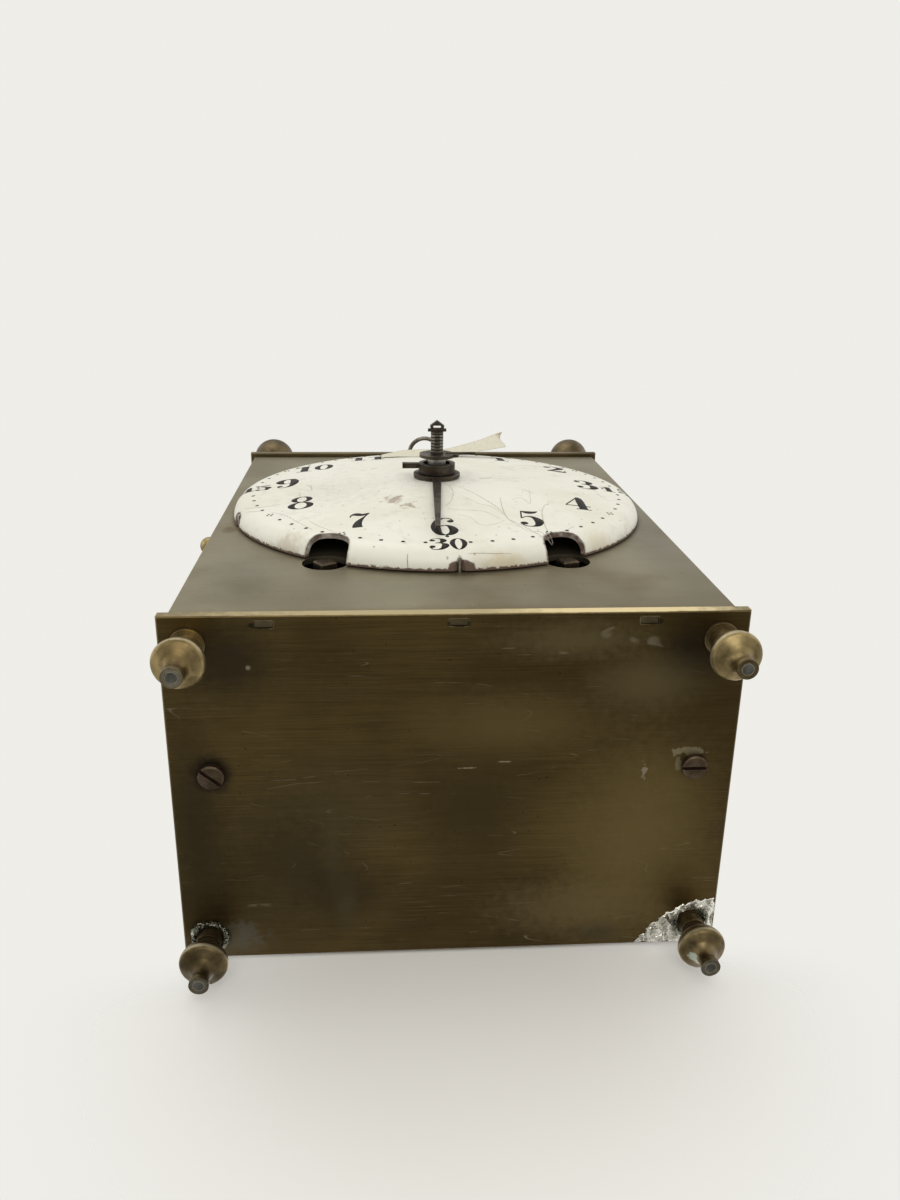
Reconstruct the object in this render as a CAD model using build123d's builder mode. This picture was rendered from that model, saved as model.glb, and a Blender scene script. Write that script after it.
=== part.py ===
from build123d import *
import os
from math import atan2, cos, degrees, hypot, pi, radians, sin

# Small brass lantern clock with an enamel dial, an eight-day movement of two trains and a bell on top.
# Lengths are millimetres. The clock stands on four turned feet with its dial facing -Y. The origin is
# on the supporting surface, in the middle between the feet, and +Z is up.

# Case: its width and height follow from the movement inside it
case_depth = 91.4
plate_thickness = 3.0
plate_edge_bevel = 0.3
side_overhang = 1.6
front_overhang = 1.4
front_sheet = 1.5
back_sheet = 1.2
back_inset = 1.6
back_side_gap = 1.2
tenon_width = 4.0
tenon_fit = 0.12
tenon_spread = 43.5
tenon_recess = 0.3
blind_floor = 1.0

# Feet, pillars, finials and the iron rods that run through them
rod_diameter = 2.8
rod_fit = 0.08
rod_in_finial = 9.0
foot_height = 18.0
foot_stub_radius = 2.35
foot_stub_height = 1.2
foot_waist_radius = 2.1
foot_cove_radius = 3.4
foot_cove_height = 5.3
foot_edge_radius = 5.2
foot_edge_height = 6.4
foot_band_radius = 5.68
foot_band_height = 6.95
foot_bun_radius = 5.85
foot_bun_height = 7.8
foot_top_radius = 4.7
foot_top_height = 10.4
foot_neck_radius = 2.4
foot_neck_height = 12.0
foot_collar_radius = 3.1
foot_collar_height = 4.0
foot_flange_radius = 4.0
foot_flange_height = 0.7
pillar_diameter = 6.6
pillar_front_gap = 0.5
pillar_door_gap = 0.4
finial_height = 30.0
finial_bulb_radius = 7.75
finial_bulb_height = 20.0
finial_base_radius = 4.2
finial_neck_radius = 2.5
finial_base_height = 2.0
finial_neck_height = 9.0
finial_ring_radius = 3.6
finial_ring_height = 1.6
finial_tip_radius = 2.0
finial_tip_neck = 1.2
finial_cove_radius = 2.8
finial_belly_radius = 6.65
finial_shoulder_radius = 6.2
finial_shoulder_lift = 0.4

# Side doors
door_sheet = 1.2
door_gap = 0.4
hinge_radius = 0.9
hinge_fit = 0.06
hinge_inset_y = 2.3
hinge_pin_length = 2.4
knob_radius = 2.7
knob_neck_radius = 1.6
knob_length = 5.6
knob_shank_radius = 1.2
knob_height = 81.0
knob_from_edge = 5.0

# Screws up into the movement
seat_screw_inset = 3.7
seat_screw_depth = 22.0
seat_head_radius = 3.05
seat_head_height = 1.6
seat_head_bevel = 0.3
seat_shank_radius = 1.5
seat_hole_fit = 0.1
seat_thread_length = 6.0
screw_slot_width = 0.9
screw_slot_depth = 0.8
left_slot_angle = 40.0

# Loop of iron wire on top
loop_wire = 1.6
loop_half_width = 6.0
loop_reach = 8.6
loop_x = 0.0
loop_from_front = 3.7
loop_pivot_height = 1.7
loop_fit = 0.06
eye_radius = 1.7
eye_thickness = 1.6
eye_gap = 0.4
loop_bend = 1.0

# Dial
dial_rise = 95.0
dial_radius = 62.0
dial_bulge = 10.7
dial_knuckle = 5.8
dial_shell = 1.4
dial_rim_gap = 0.4
dial_centre_hole = 5.5
dial_pin_inset = 0.7
dial_pin_angles = (-87.5, 198.0, 62.0)
dial_pin_radius = 0.45
dial_pin_fit = 0.05
dial_pin_length = 3.9
dial_pin_slot_angle = 45.0
dial_pin_slot_gap = 0.15
winding_spread = 32.0
winding_drop = 53.0
winding_hole_radius = 6.0
dial_notch_radius = 6.4
front_centre_hole = 6.2

# Hands and what holds them
hour_boss_radius = 7.15
hour_boss_thickness = 1.0
hour_boss_gap = 0.35
hour_blade_length = 53.0
hour_blade_root = 2.7
hour_blade_tip = 1.3
hour_blade_thickness = 0.7
hour_blade_drop = 1.9
hour_blade_lift = 0.5
hour_hand_angle = 2.7
minute_drum_radius = 5.6
minute_drum_height = 2.8
minute_drum_gap = 0.3
minute_recess_radius = 4.2
minute_recess_depth = 1.0
minute_stub_length = 5.0
minute_stub_width = 1.9
minute_stub_root = 1.45
minute_stub_thickness = 1.6
hand_neck_height = 1.5
collar_radius = 5.35
collar_thickness = 1.0
collar_tilt = 4.0
collar_lug = 1.4
needle_radius = 0.45
needle_reach = 12.0
arbor_front_radius = 1.9
arbor_back_radius = 2.2
arbor_column = 6.6
arbor_tip = 3.6
arbor_tip_radius = 2.15
arbor_tip_shoulder = 2.0
arbor_tip_slot = 0.8
arbor_tip_slot_width = 2.3
arbor_flat = 1.5
arbor_groove_depth = 0.35
arbor_groove_pitch = 0.85
arbor_grooves = 6
pin_radius = 0.5
pin_length = 5.6
pin_from_column = 0.6

# Movement frame
motion_room = 12.8
frame_sheet = 2.0
frame_space = 42.0
frame_side_gap = 3.2
frame_bottom_gap = 1.0
frame_top_gap = 6.0
anchor_headroom = 10.0
great_wheel_margin = 0.728
frame_pillar_radius = 3.5
frame_tenon_radius = 2.0
frame_tenon_proud = 2.2
frame_pin_radius = 0.5
frame_pin_length = 6.0
seat_block = 9.0
seat_block_length = 12.0
upper_pillar_inset = 4.5
upper_pillar_drop = 18.0
pivot_fit = 0.05
running_fit = 0.06
pivot_radius = 0.8
pivot_proud = 0.3
shoulder_gap = 0.6
end_shake = 0.5

# Teeth: widths are shares of the tooth spacing
wheel_addendum = 0.8
wheel_dedendum = 1.2
wheel_tip_width = 0.26
wheel_root_width = 0.76
pinion_addendum = 0.5
pinion_dedendum = 1.3
pinion_tip_width = 0.28
pinion_root_width = 0.46
wheel_sheet = 1.8
spoke_width = 2.6
spokes = 5
hub_radius = 4.0
leaf_overhang = 0.8

# Going train, with each wheel's room behind the front plate or before the back plate
great_teeth = 48
great_leaves = 8
great_module = 1.14
great_sheet = 3.0
second_teeth = 40
second_leaves = 8
second_module = 1.31
second_side = -1.0
centre_teeth = 60
third_leaves = 6
third_module = 0.75
third_bearing = 71.1
third_teeth = 60
escape_leaves = 6
escape_module = 0.6
escape_bearing = 113.8
escape_teeth = 48
escape_radius = 14.0
escape_tooth_depth = 1.9
escape_flank = 0.08
escape_tip = 0.2
escape_hub_radius = 3.0
escape_spokes = 4
anchor_above_escape = 23.5
second_arbor_radius = 1.8
third_arbor_radius = 1.2
escape_arbor_radius = 1.0
great_room = 9.0
second_room = 4.0
centre_room = 4.0
third_room = 16.0
escape_room = 8.0

# Barrels and winding
barrel_radius = 25.0
barrel_room = 6.0
barrel_lip = 1.2
barrel_lip_depth = 0.8
barrel_arbor_radius = 3.0
barrel_pivot_radius = 2.0
winding_square = 4.6
winding_square_proud = 0.5
winding_square_bevel = 0.4
winding_square_turns = {"going": 20.0, "strike": 33.5}
ratchet_teeth = 12
ratchet_radius = 8.0
ratchet_depth = 1.6
ratchet_flank = 0.1
ratchet_sheet = 2.0
ratchet_room = 1.4
click_clearance = 1.0
click_stud_radius = 1.2
click_distance = 14.5
click_bearing = 60.0
click_nose_bearing = 20.0
click_eye_radius = 2.6
click_sheet = 1.6
click_stud_length = 4.0
click_nose_inner = 0.3
click_nose_outer = 0.6

# Motion work behind the dial
cannon_leaves = 12
minute_teeth = 36
minute_module = 0.75
minute_leaves = 10
hour_teeth = 40
cannon_pipe_radius = 2.8
cannon_bore_gap = 0.06
hour_pipe_radius = 4.2
minute_stud_radius = 1.3
minute_stud_proud = 1.0
motion_sheet = 1.6
motion_overlap = 1.0
cannon_length = 2.7
cannon_room = 1.5
minute_room = 1.8
hour_room = 6.0

# Striking train
pin_leaves = 8
pin_bearing = 93.6
pin_teeth = 48
pin_module = 0.9
lock_leaves = 8
lock_bearing = 81.0
lock_teeth = 48
lock_module = 0.6
fly_leaves = 6
fly_bearing = 120.0
lifting_pins = 8
lifting_pin_radius = 0.6
lifting_pin_length = 2.8
fly_vane_radius = 10.5
fly_vane_length = 16.0
fly_vane_sheet = 0.8
fly_vane_room = 2.0
pin_room = 4.0
lock_room = 11.5
lock_spokes = 4
pin_arbor_radius = 1.8
lock_arbor_radius = 1.5
fly_arbor_radius = 1.0

# Hammer and bell
hammer_inset = 11.0
hammer_rise = 125.0
hammer_arm_room = 23.0
hammer_arbor_radius = 1.5
hammer_tail = 29.0
hammer_tail_lean = 4.0
hammer_tail_tip = 0.7
hammer_tail_sheet = 2.0
hammer_tail_gap = 0.8
hammer_head_radius = 3.4
hammer_head_length = 9.0
hammer_gap = 1.2
hammer_arm_radius = 1.1
hammer_slot_margin = 3.0
hammer_swing = 8.0
bell_radius = 33.0
bell_height = 20.0
bell_wall = 2.0
bell_skirt_height = 8.0
bell_skirt_radius = 30.5
bell_above_plate = 5.0
bell_post_radius = 2.5
bell_foot_radius = 5.0
bell_foot_height = 2.0
bell_skirt_swell = 0.7
bell_bolt_radius = 1.6
bell_bolt_fit = 0.1
bell_bolt_short = 0.6
bell_nut_radius = 3.6
bell_nut_height = 4.0

# Pendulum
pendulum_gap = 10.0
pendulum_length = 128.0
pendulum_sheet = 2.0
pendulum_tail = 4.0
pin_overreach = 3.0
pendulum_rod_radius = 0.8
pendulum_eye_radius = 2.6
pendulum_fork_drop = 30.0
pendulum_fork_outer = 3.2
pendulum_fork_inner = 1.7
bob_radius = 12.5
bob_thickness = 7.0
bob_edge = 1.2
cock_gap = 4.0
cock_sheet = 2.0
cock_half_width = 15.0
cock_leg = 7.0
cock_height = 9.0
cock_corner = 1.5
cock_back_thickness = 1.0
crutch_pin_radius = 0.8
anchor_arbor_radius = 1.3
anchor_shoulder_gap = 1.0
anchor_hub_radius = 3.2
anchor_waist = 3.0
anchor_elbow_in = 9.3
anchor_elbow_in_drop = 6.8
anchor_elbow_out = 12.6
anchor_elbow_out_drop = 6.0
anchor_sheet = 1.6
crutch_width = 3.0
crutch_sheet = 1.2
crutch_gap = 1.0
stud_radius = 1.2
pallet_clearance = 1.7
pallet_spread_angle = 44.0
pallet_depth = 1.4
pallet_width_angle = 5.0

# Levels and faces that follow from the sizes above
base_bottom = foot_height
base_top = base_bottom + plate_thickness
dial_z = base_bottom + dial_rise
front_face = -case_depth / 2 + front_overhang
front_back = front_face + front_sheet
back_face = case_depth / 2 - back_inset
back_front = back_face - back_sheet
frame_front = front_back + motion_room
frame_inner = frame_front + frame_sheet
frame_back = frame_inner + frame_space
frame_end = frame_back + frame_sheet
great_tip_radius = (great_teeth / 2 + wheel_addendum) * great_module
frame_half_width = winding_spread + great_tip_radius + great_wheel_margin
door_inner = frame_half_width + frame_side_gap
side_face = door_inner + door_sheet
case_width = 2 * (side_face + side_overhang)
back_half_width = door_inner - back_side_gap
hinge_x = side_face - door_sheet / 2
hinge_y = case_depth / 2 - hinge_inset_y
post_x = door_inner - pillar_door_gap - pillar_diameter / 2
post_y = -front_back - pillar_front_gap - pillar_diameter / 2
seat_screw_x = frame_half_width - seat_screw_inset
seat_screw_y = frame_inner + seat_screw_depth
hammer_x = hammer_inset - frame_half_width
hammer_arm_y = frame_inner + hammer_arm_room
pendulum_y = frame_end + pendulum_gap
post_places = [(sx * post_x, sy * post_y) for sx in (-1, 1) for sy in (-1, 1)]
hinge_places = [(sx * hinge_x, hinge_y) for sx in (-1, 1)]
seat_places = [(sx * seat_screw_x, seat_screw_y) for sx in (-1, 1)]
tenon_xs = [-tenon_spread, 0.0, tenon_spread]
winding_places = [(sx * winding_spread, dial_z - winding_drop) for sx in (-1, 1)]


def step_from(place, distance, bearing):
    """The point at a distance and bearing (degrees from +X towards +Z) from a point of the XZ plane."""
    return place[0] + distance * cos(radians(bearing)), place[1] + distance * sin(radians(bearing))


def meeting(first, first_reach, second, second_reach, side):
    """The point at one distance from the first centre and another from the second."""
    dx, dz = second[0] - first[0], second[1] - first[1]
    apart = hypot(dx, dz)
    along = (first_reach**2 - second_reach**2 + apart**2) / (2 * apart)
    across = side * (first_reach**2 - along**2) ** 0.5
    return (
        first[0] + (along * dx - across * dz) / apart,
        first[1] + (along * dz + across * dx) / apart,
    )


def pitch_distance(teeth, leaves, module):
    return (teeth + leaves) * module / 2


# Centres of the trains, as (x, z)
centre_at = (0.0, dial_z)
strike_barrel_at, going_barrel_at = winding_places
second_at = meeting(
    centre_at,
    pitch_distance(second_teeth, second_leaves, second_module),
    going_barrel_at,
    pitch_distance(great_teeth, great_leaves, great_module),
    -second_side,
)
third_at = step_from(centre_at, pitch_distance(centre_teeth, third_leaves, third_module), third_bearing)
escape_at = step_from(third_at, pitch_distance(third_teeth, escape_leaves, escape_module), escape_bearing)
anchor_at = step_from(escape_at, anchor_above_escape, 90)
minute_stud_at = step_from(centre_at, pitch_distance(minute_teeth, cannon_leaves, minute_module), 180)
pin_at = step_from(strike_barrel_at, pitch_distance(great_teeth, pin_leaves, great_module), pin_bearing)
lock_at = step_from(pin_at, pitch_distance(pin_teeth, lock_leaves, pin_module), lock_bearing)
fly_at = step_from(lock_at, pitch_distance(lock_teeth, fly_leaves, lock_module), fly_bearing)
hammer_at = (hammer_x, base_bottom + hammer_rise)

# The movement frame stands as high as the anchor needs, and the top plate lies above it
frame_low = base_top + frame_bottom_gap
frame_top = anchor_at[1] + anchor_headroom
roof_bottom = frame_top + frame_top_gap
roof_top = roof_bottom + plate_thickness
clear_height = roof_bottom - base_top

# Layers of the wheels, as the back face of each
centre_back = frame_inner + centre_room
third_back = frame_inner + third_room
lock_back = frame_inner + lock_room
barrel_front = frame_inner + barrel_room
great_back = frame_back - great_room
second_back = frame_back - second_room
escape_back = frame_back - escape_room
pin_back = frame_back - pin_room
ratchet_back = frame_front - ratchet_room
cannon_back = frame_front - cannon_room
minute_back = frame_front - minute_room
hour_back = frame_front - hour_room


def facing(y):
    """The plane at depth y that faces the front, with local x along X and local y along Z."""
    return Plane.XZ.offset(-y)


def depth_profile(place):
    """The plane for the half profile of a part turned about a line along Y: (radius, y)."""
    return Plane(origin=(place[0], 0, place[1]), x_dir=(1, 0, 0), z_dir=(0, 0, 1))


def depth_axis(place):
    return Axis((place[0], 0, place[1]), (0, 1, 0))


def upright_profile(x, y, level):
    """The plane for the half profile of a part turned about an upright line: (radius, height)."""
    return Plane(origin=(x, y, level), x_dir=(1, 0, 0), z_dir=(0, -1, 0))


def upright_axis(x, y):
    return Axis((x, y, 0), (0, 0, 1))


def stepped_outline(start, steps, bore=0.0):
    """The half profile of a stepped shaft, from its start through steps of (end, radius)."""
    points = [(bore, start)]
    at = start
    for end, radius in steps:
        points += [(radius, at), (radius, end)]
        at = end
    points.append((bore, at))
    return points


def tooth_outline(place, teeth, module, phase, shape):
    """Straight-sided teeth around a place, the first one centred on the phase angle (radians)."""
    addendum, dedendum, tip_width, root_width = shape
    spacing = 2 * pi / teeth
    root = (teeth / 2 - dedendum) * module
    tip = (teeth / 2 + addendum) * module
    points = []
    for number in range(teeth):
        middle = phase + number * spacing
        for reach, turn in (
            (root, -root_width / 2),
            (tip, -tip_width / 2),
            (tip, tip_width / 2),
            (root, root_width / 2),
        ):
            angle = middle + turn * spacing
            points.append((place[0] + reach * cos(angle), place[1] + reach * sin(angle)))
    return points


wheel_shape = (wheel_addendum, wheel_dedendum, wheel_tip_width, wheel_root_width)
pinion_shape = (pinion_addendum, pinion_dedendum, pinion_tip_width, pinion_root_width)


def phase_in_mesh(first_at, first_teeth, first_phase, second_place, second_teeth_count):
    """The phase that puts a gap of the second gear on the tooth of the first, on their line of centres."""
    line = atan2(second_place[1] - first_at[1], second_place[0] - first_at[0])
    share = first_teeth / second_teeth_count
    return line + pi - (first_phase - line) * share - pi / second_teeth_count


def toothed_wheel(place, back, sheet, teeth, module, phase, bore, spoke_count=spokes):
    """A wheel with crossed-out spokes and a round hole for its arbor."""
    rim = (teeth / 2 - wheel_dedendum) * module - spoke_width
    with BuildPart() as wheel:
        with BuildSketch(facing(back)):
            with BuildLine():
                Polyline(*tooth_outline(place, teeth, module, phase, wheel_shape), close=True)
            make_face()
            with Locations(place):
                Circle(bore, mode=Mode.SUBTRACT)
        extrude(amount=sheet)
        with BuildSketch(facing(back)):
            with Locations(place):
                Circle(rim)
                Circle(hub_radius, mode=Mode.SUBTRACT)
                with PolarLocations(0, spoke_count):
                    Rectangle(rim, spoke_width, align=(Align.MIN, Align.CENTER), mode=Mode.SUBTRACT)
        extrude(amount=sheet, mode=Mode.SUBTRACT)
    return wheel.part


def arbor(place, start, steps, pinion=None):
    """A stepped shaft along Y, with the leaves of its pinion if it has one."""
    with BuildPart() as shaft:
        with BuildSketch(depth_profile(place)):
            with BuildLine():
                Polyline(*stepped_outline(start, steps), close=True)
            make_face()
        revolve(axis=depth_axis(place))
        if pinion:
            leaves, module, phase, back, length = pinion
            with BuildSketch(facing(back)):
                with BuildLine():
                    Polyline(*tooth_outline(place, leaves, module, phase, pinion_shape), close=True)
                make_face()
            extrude(amount=length)
    return shaft.part


def pinion_on(leaves, module, phase, back, sheet):
    """A pinion that meshes with a wheel of a given back face and sheet, and reaches past both its faces."""
    return leaves, module, phase, back + leaf_overhang, sheet + 2 * leaf_overhang


def pivoted(radius):
    """The steps of an arbor that runs between the two movement plates on narrow pivots."""
    return [
        (frame_inner + shoulder_gap, pivot_radius),
        (frame_back - shoulder_gap, radius),
        (frame_end + pivot_proud, pivot_radius),
    ]


def keep(piece, name):
    piece.label = name
    export_step(piece, f"parts/{name}.step")


os.makedirs("parts", exist_ok=True)

# Base and top plates
plate_holes = {"base_plate": base_bottom, "top_plate": roof_bottom}
rod_hole = rod_diameter / 2 + rod_fit
hammer_head_x = -(bell_radius + hammer_gap + hammer_head_length / 2)
hammer_head_z = roof_top + bell_above_plate + hammer_head_radius
hammer_share = (roof_bottom + plate_thickness / 2 - hammer_at[1]) / (hammer_head_z - hammer_at[1])
hammer_arm_x = hammer_x + (hammer_head_x - hammer_x) * hammer_share
hammer_travel = (roof_bottom + plate_thickness / 2 - hammer_at[1]) * sin(radians(hammer_swing))
hammer_slot_width = 2 * (hammer_arm_radius + hammer_slot_margin / 2)
hammer_slot_length = hammer_travel + 2 * (hammer_arm_radius + hammer_slot_margin)
for plate_name, plate_level in plate_holes.items():
    with BuildPart() as plate:
        with BuildSketch(Plane.XY.offset(plate_level)):
            Rectangle(case_width, case_depth)
        extrude(amount=plate_thickness)
        chamfer(plate.edges().group_by(Axis.Z)[0], length=plate_edge_bevel)
        chamfer(plate.edges().group_by(Axis.Z)[-1], length=plate_edge_bevel)
        with BuildSketch(Plane.XY.offset(plate_level)):
            with Locations(*post_places):
                Circle(rod_hole)
            with Locations(*hinge_places):
                Circle(hinge_radius + hinge_fit)
            with Locations(*[(x, front_face + front_sheet / 2) for x in tenon_xs]):
                Rectangle(tenon_width + 2 * tenon_fit, front_sheet + 2 * tenon_fit)
            if plate_name == "base_plate":
                with Locations(*seat_places):
                    Circle(seat_shank_radius + seat_hole_fit)
            else:
                Circle(bell_bolt_radius + bell_bolt_fit)
                with Locations((hammer_arm_x - hammer_travel / 2, hammer_arm_y)):
                    SlotOverall(hammer_slot_length, hammer_slot_width)
        extrude(amount=plate_thickness, mode=Mode.SUBTRACT)
        mortise_bottom = base_bottom + blind_floor if plate_name == "base_plate" else roof_bottom
        with BuildSketch(Plane.XY.offset(mortise_bottom)):
            with Locations(*[(x, back_front + back_sheet / 2) for x in tenon_xs]):
                Rectangle(tenon_width + 2 * tenon_fit, back_sheet + 2 * tenon_fit)
        extrude(amount=plate_thickness, mode=Mode.SUBTRACT)
    keep(plate.part, plate_name)

# Turned feet and finials, and the rods between them
side_names = {-1: "left", 1: "right"}
depth_names = {-1: "front", 1: "back"}
foot_cove_low = (foot_waist_radius, (foot_stub_height + foot_cove_height) / 2)
foot_side = (foot_bun_radius, foot_bun_height)
finial_ring_top = finial_neck_height + finial_ring_height
finial_tip_base = finial_height - finial_tip_radius - (finial_tip_radius**2 - finial_tip_neck**2) ** 0.5
finial_shoulder_height = (finial_bulb_height + finial_tip_base) / 2 + finial_shoulder_lift
for post_place in post_places:
    corner = f"{depth_names[round(post_place[1] / post_y)]}_{side_names[round(post_place[0] / post_x)]}"
    with BuildPart() as foot:
        with BuildSketch(upright_profile(*post_place, 0)):
            with BuildLine():
                stub = Polyline(
                    (rod_hole, 0),
                    (foot_stub_radius, 0),
                    (foot_stub_radius, foot_stub_height),
                )
                cove = ThreePointArc(stub @ 1, foot_cove_low, (foot_cove_radius, foot_cove_height))
                under = Line(cove @ 1, (foot_edge_radius, foot_edge_height))
                ThreePointArc(under @ 1, (foot_band_radius, foot_band_height), foot_side)
                over = ThreePointArc(
                    foot_side,
                    (foot_top_radius, foot_top_height),
                    (foot_neck_radius, foot_neck_height),
                )
                Polyline(
                    over @ 1,
                    (foot_neck_radius, foot_height - foot_collar_height),
                    (foot_collar_radius, foot_height - foot_collar_height),
                    (foot_collar_radius, foot_height - foot_flange_height),
                    (foot_flange_radius, foot_height - foot_flange_height),
                    (foot_flange_radius, foot_height),
                    (rod_hole, foot_height),
                    (rod_hole, 0),
                )
            make_face()
        revolve(axis=upright_axis(*post_place))
    keep(foot.part, f"foot_{corner}")

    with BuildPart() as finial:
        with BuildSketch(upright_profile(*post_place, roof_top)):
            with BuildLine():
                base = Polyline(
                    (rod_hole, rod_in_finial),
                    (rod_hole, 0),
                    (finial_base_radius, 0),
                    (finial_base_radius, finial_base_height),
                )
                cove = ThreePointArc(
                    base @ 1,
                    (finial_cove_radius, (finial_base_height + finial_neck_height) / 2),
                    (finial_neck_radius, finial_neck_height),
                )
                ring = Polyline(
                    cove @ 1,
                    (finial_ring_radius, finial_neck_height),
                    (finial_ring_radius, finial_ring_top),
                    (finial_neck_radius, finial_ring_top),
                )
                belly = ThreePointArc(
                    ring @ 1,
                    (finial_belly_radius, (finial_ring_top + finial_bulb_height) / 2),
                    (finial_bulb_radius, finial_bulb_height),
                )
                shoulder = ThreePointArc(
                    belly @ 1,
                    (finial_shoulder_radius, finial_shoulder_height),
                    (finial_tip_neck, finial_tip_base),
                )
                ThreePointArc(
                    shoulder @ 1,
                    (finial_tip_radius, finial_height - finial_tip_radius),
                    (0, finial_height),
                )
                Polyline((0, finial_height), (0, rod_in_finial), (rod_hole, rod_in_finial))
            make_face()
        revolve(axis=upright_axis(*post_place))
    keep(finial.part, f"finial_{corner}")

with BuildPart() as corner_pillars:
    with BuildSketch(Plane.XY.offset(base_top)):
        with Locations(*post_places):
            Circle(pillar_diameter / 2)
            Circle(rod_hole, mode=Mode.SUBTRACT)
    extrude(amount=clear_height)
keep(corner_pillars.part, "corner_pillars")

with BuildPart() as tie_rods:
    with BuildSketch(Plane.XY):
        with Locations(*post_places):
            Circle(rod_diameter / 2)
    extrude(amount=roof_top + rod_in_finial - tenon_recess)
keep(tie_rods.part, "tie_rods")

# Front and back plates, tenoned into the base and the top
tenon_height = clear_height + 2 * (plate_thickness - tenon_recess)
case_middle = (base_top + roof_bottom) / 2
dial_pin_circle = dial_radius - dial_pin_inset
dial_pin_places = [step_from(centre_at, dial_pin_circle, angle) for angle in dial_pin_angles]
with BuildPart() as front_plate:
    with BuildSketch(facing(front_back)):
        with Locations((0, case_middle)):
            Rectangle(2 * side_face, clear_height)
        with Locations(*[(x, case_middle) for x in tenon_xs]):
            Rectangle(tenon_width, tenon_height)
        with Locations(centre_at):
            Circle(front_centre_hole, mode=Mode.SUBTRACT)
        with Locations(*winding_places):
            Circle(winding_hole_radius, mode=Mode.SUBTRACT)
        with Locations(*dial_pin_places):
            Circle(dial_pin_radius + dial_pin_fit, mode=Mode.SUBTRACT)
    extrude(amount=front_sheet)
keep(front_plate.part, "front_plate")

back_tenon_low = base_bottom + blind_floor + tenon_recess
with BuildPart() as back_plate:
    with BuildSketch(facing(back_face)):
        with Locations((0, case_middle)):
            Rectangle(2 * back_half_width, clear_height)
        with Locations(*[(x, back_tenon_low) for x in tenon_xs]):
            Rectangle(tenon_width, roof_top - tenon_recess - back_tenon_low, align=(Align.CENTER, Align.MIN))
    extrude(amount=back_sheet)
keep(back_plate.part, "back_plate")

# Side doors on pivots that turn in the base and top plates, with a turned knob on each
door_edge = front_back + door_gap
door_bottom = base_top + door_gap
knob_y = door_edge + knob_from_edge
knob_z = base_bottom + knob_height
knob_neck_length = knob_length - knob_radius - (knob_radius**2 - knob_neck_radius**2) ** 0.5
for side, side_name in side_names.items():
    with BuildPart() as door:
        with BuildSketch(Plane.XY.offset(door_bottom)):
            with Locations((side * hinge_x, (door_edge + hinge_y) / 2)):
                Rectangle(door_sheet, hinge_y - door_edge)
        extrude(amount=clear_height - 2 * door_gap)
        with BuildSketch(Plane.XY.offset(base_top - hinge_pin_length)):
            with Locations((side * hinge_x, hinge_y)):
                Circle(hinge_radius)
        extrude(amount=clear_height + 2 * hinge_pin_length)
        with BuildSketch(Plane.YZ.offset(side * hinge_x - door_sheet)):
            with Locations((knob_y, knob_z)):
                Circle(knob_shank_radius)
        extrude(amount=2 * door_sheet, mode=Mode.SUBTRACT)
    keep(door.part, f"door_{side_name}")

    inner_x = side * (side_face - door_sheet)
    outer_x = side * side_face
    with BuildPart() as knob:
        with BuildSketch(Plane(origin=(0, knob_y, knob_z), x_dir=(1, 0, 0), z_dir=(0, -1, 0))):
            with BuildLine():
                shank = Polyline(
                    (inner_x, 0),
                    (inner_x, knob_shank_radius),
                    (outer_x, knob_shank_radius),
                    (outer_x, knob_neck_radius),
                    (outer_x + side * knob_neck_length, knob_neck_radius),
                )
                ThreePointArc(
                    shank @ 1,
                    (outer_x + side * (knob_length - knob_radius), knob_radius),
                    (outer_x + side * knob_length, 0),
                )
                Line((outer_x + side * knob_length, 0), (inner_x, 0))
            make_face()
        revolve(axis=Axis((0, knob_y, knob_z), (1, 0, 0)))
    keep(knob.part, f"knob_{side_name}")

# Slotted screws through the base into the blocks of the lower pillars
slot_angles = (left_slot_angle, 0.0)
with BuildPart() as seat_screws:
    with BuildSketch(Plane.XY.offset(base_bottom - seat_head_height)):
        with Locations(*seat_places):
            Circle(seat_head_radius)
    extrude(amount=seat_head_height)
    chamfer(seat_screws.edges().group_by(Axis.Z)[0], length=seat_head_bevel)
    with BuildSketch(Plane.XY.offset(base_bottom)):
        with Locations(*seat_places):
            Circle(seat_shank_radius)
    extrude(amount=plate_thickness + seat_thread_length)
    with BuildSketch(Plane.XY.offset(base_bottom - seat_head_height)):
        for seat_place, slot_angle in zip(seat_places, slot_angles):
            with Locations(Location((*seat_place, 0), slot_angle)):
                Rectangle(3 * seat_head_radius, screw_slot_width)
    extrude(amount=screw_slot_depth, mode=Mode.SUBTRACT)
keep(seat_screws.part, "seat_screws")

# Wire loop that lies forward over the front edge, hinged in two small eyes
loop_y = -case_depth / 2 + loop_from_front
loop_z = roof_top + loop_pivot_height
loop_pin_end = loop_half_width + loop_wire / 2 + eye_gap + eye_thickness + loop_wire / 2
with BuildPart() as hanging_loop:
    with BuildLine(Plane.XY.offset(loop_z)) as loop_path:
        left_leg = FilletPolyline(
            (loop_x - loop_pin_end, loop_y),
            (loop_x - loop_half_width, loop_y),
            (loop_x - loop_half_width, loop_y - loop_reach + loop_half_width),
            radius=loop_bend,
        )
        right_leg = FilletPolyline(
            (loop_x + loop_pin_end, loop_y),
            (loop_x + loop_half_width, loop_y),
            (loop_x + loop_half_width, loop_y - loop_reach + loop_half_width),
            radius=loop_bend,
        )
        ThreePointArc(left_leg @ 1, (loop_x, loop_y - loop_reach), right_leg @ 1)
    with BuildSketch(Plane(origin=(loop_x - loop_pin_end, loop_y, loop_z), z_dir=(1, 0, 0))):
        Circle(loop_wire / 2)
    sweep(path=loop_path.wires()[0])
keep(hanging_loop.part, "hanging_loop")

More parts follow.
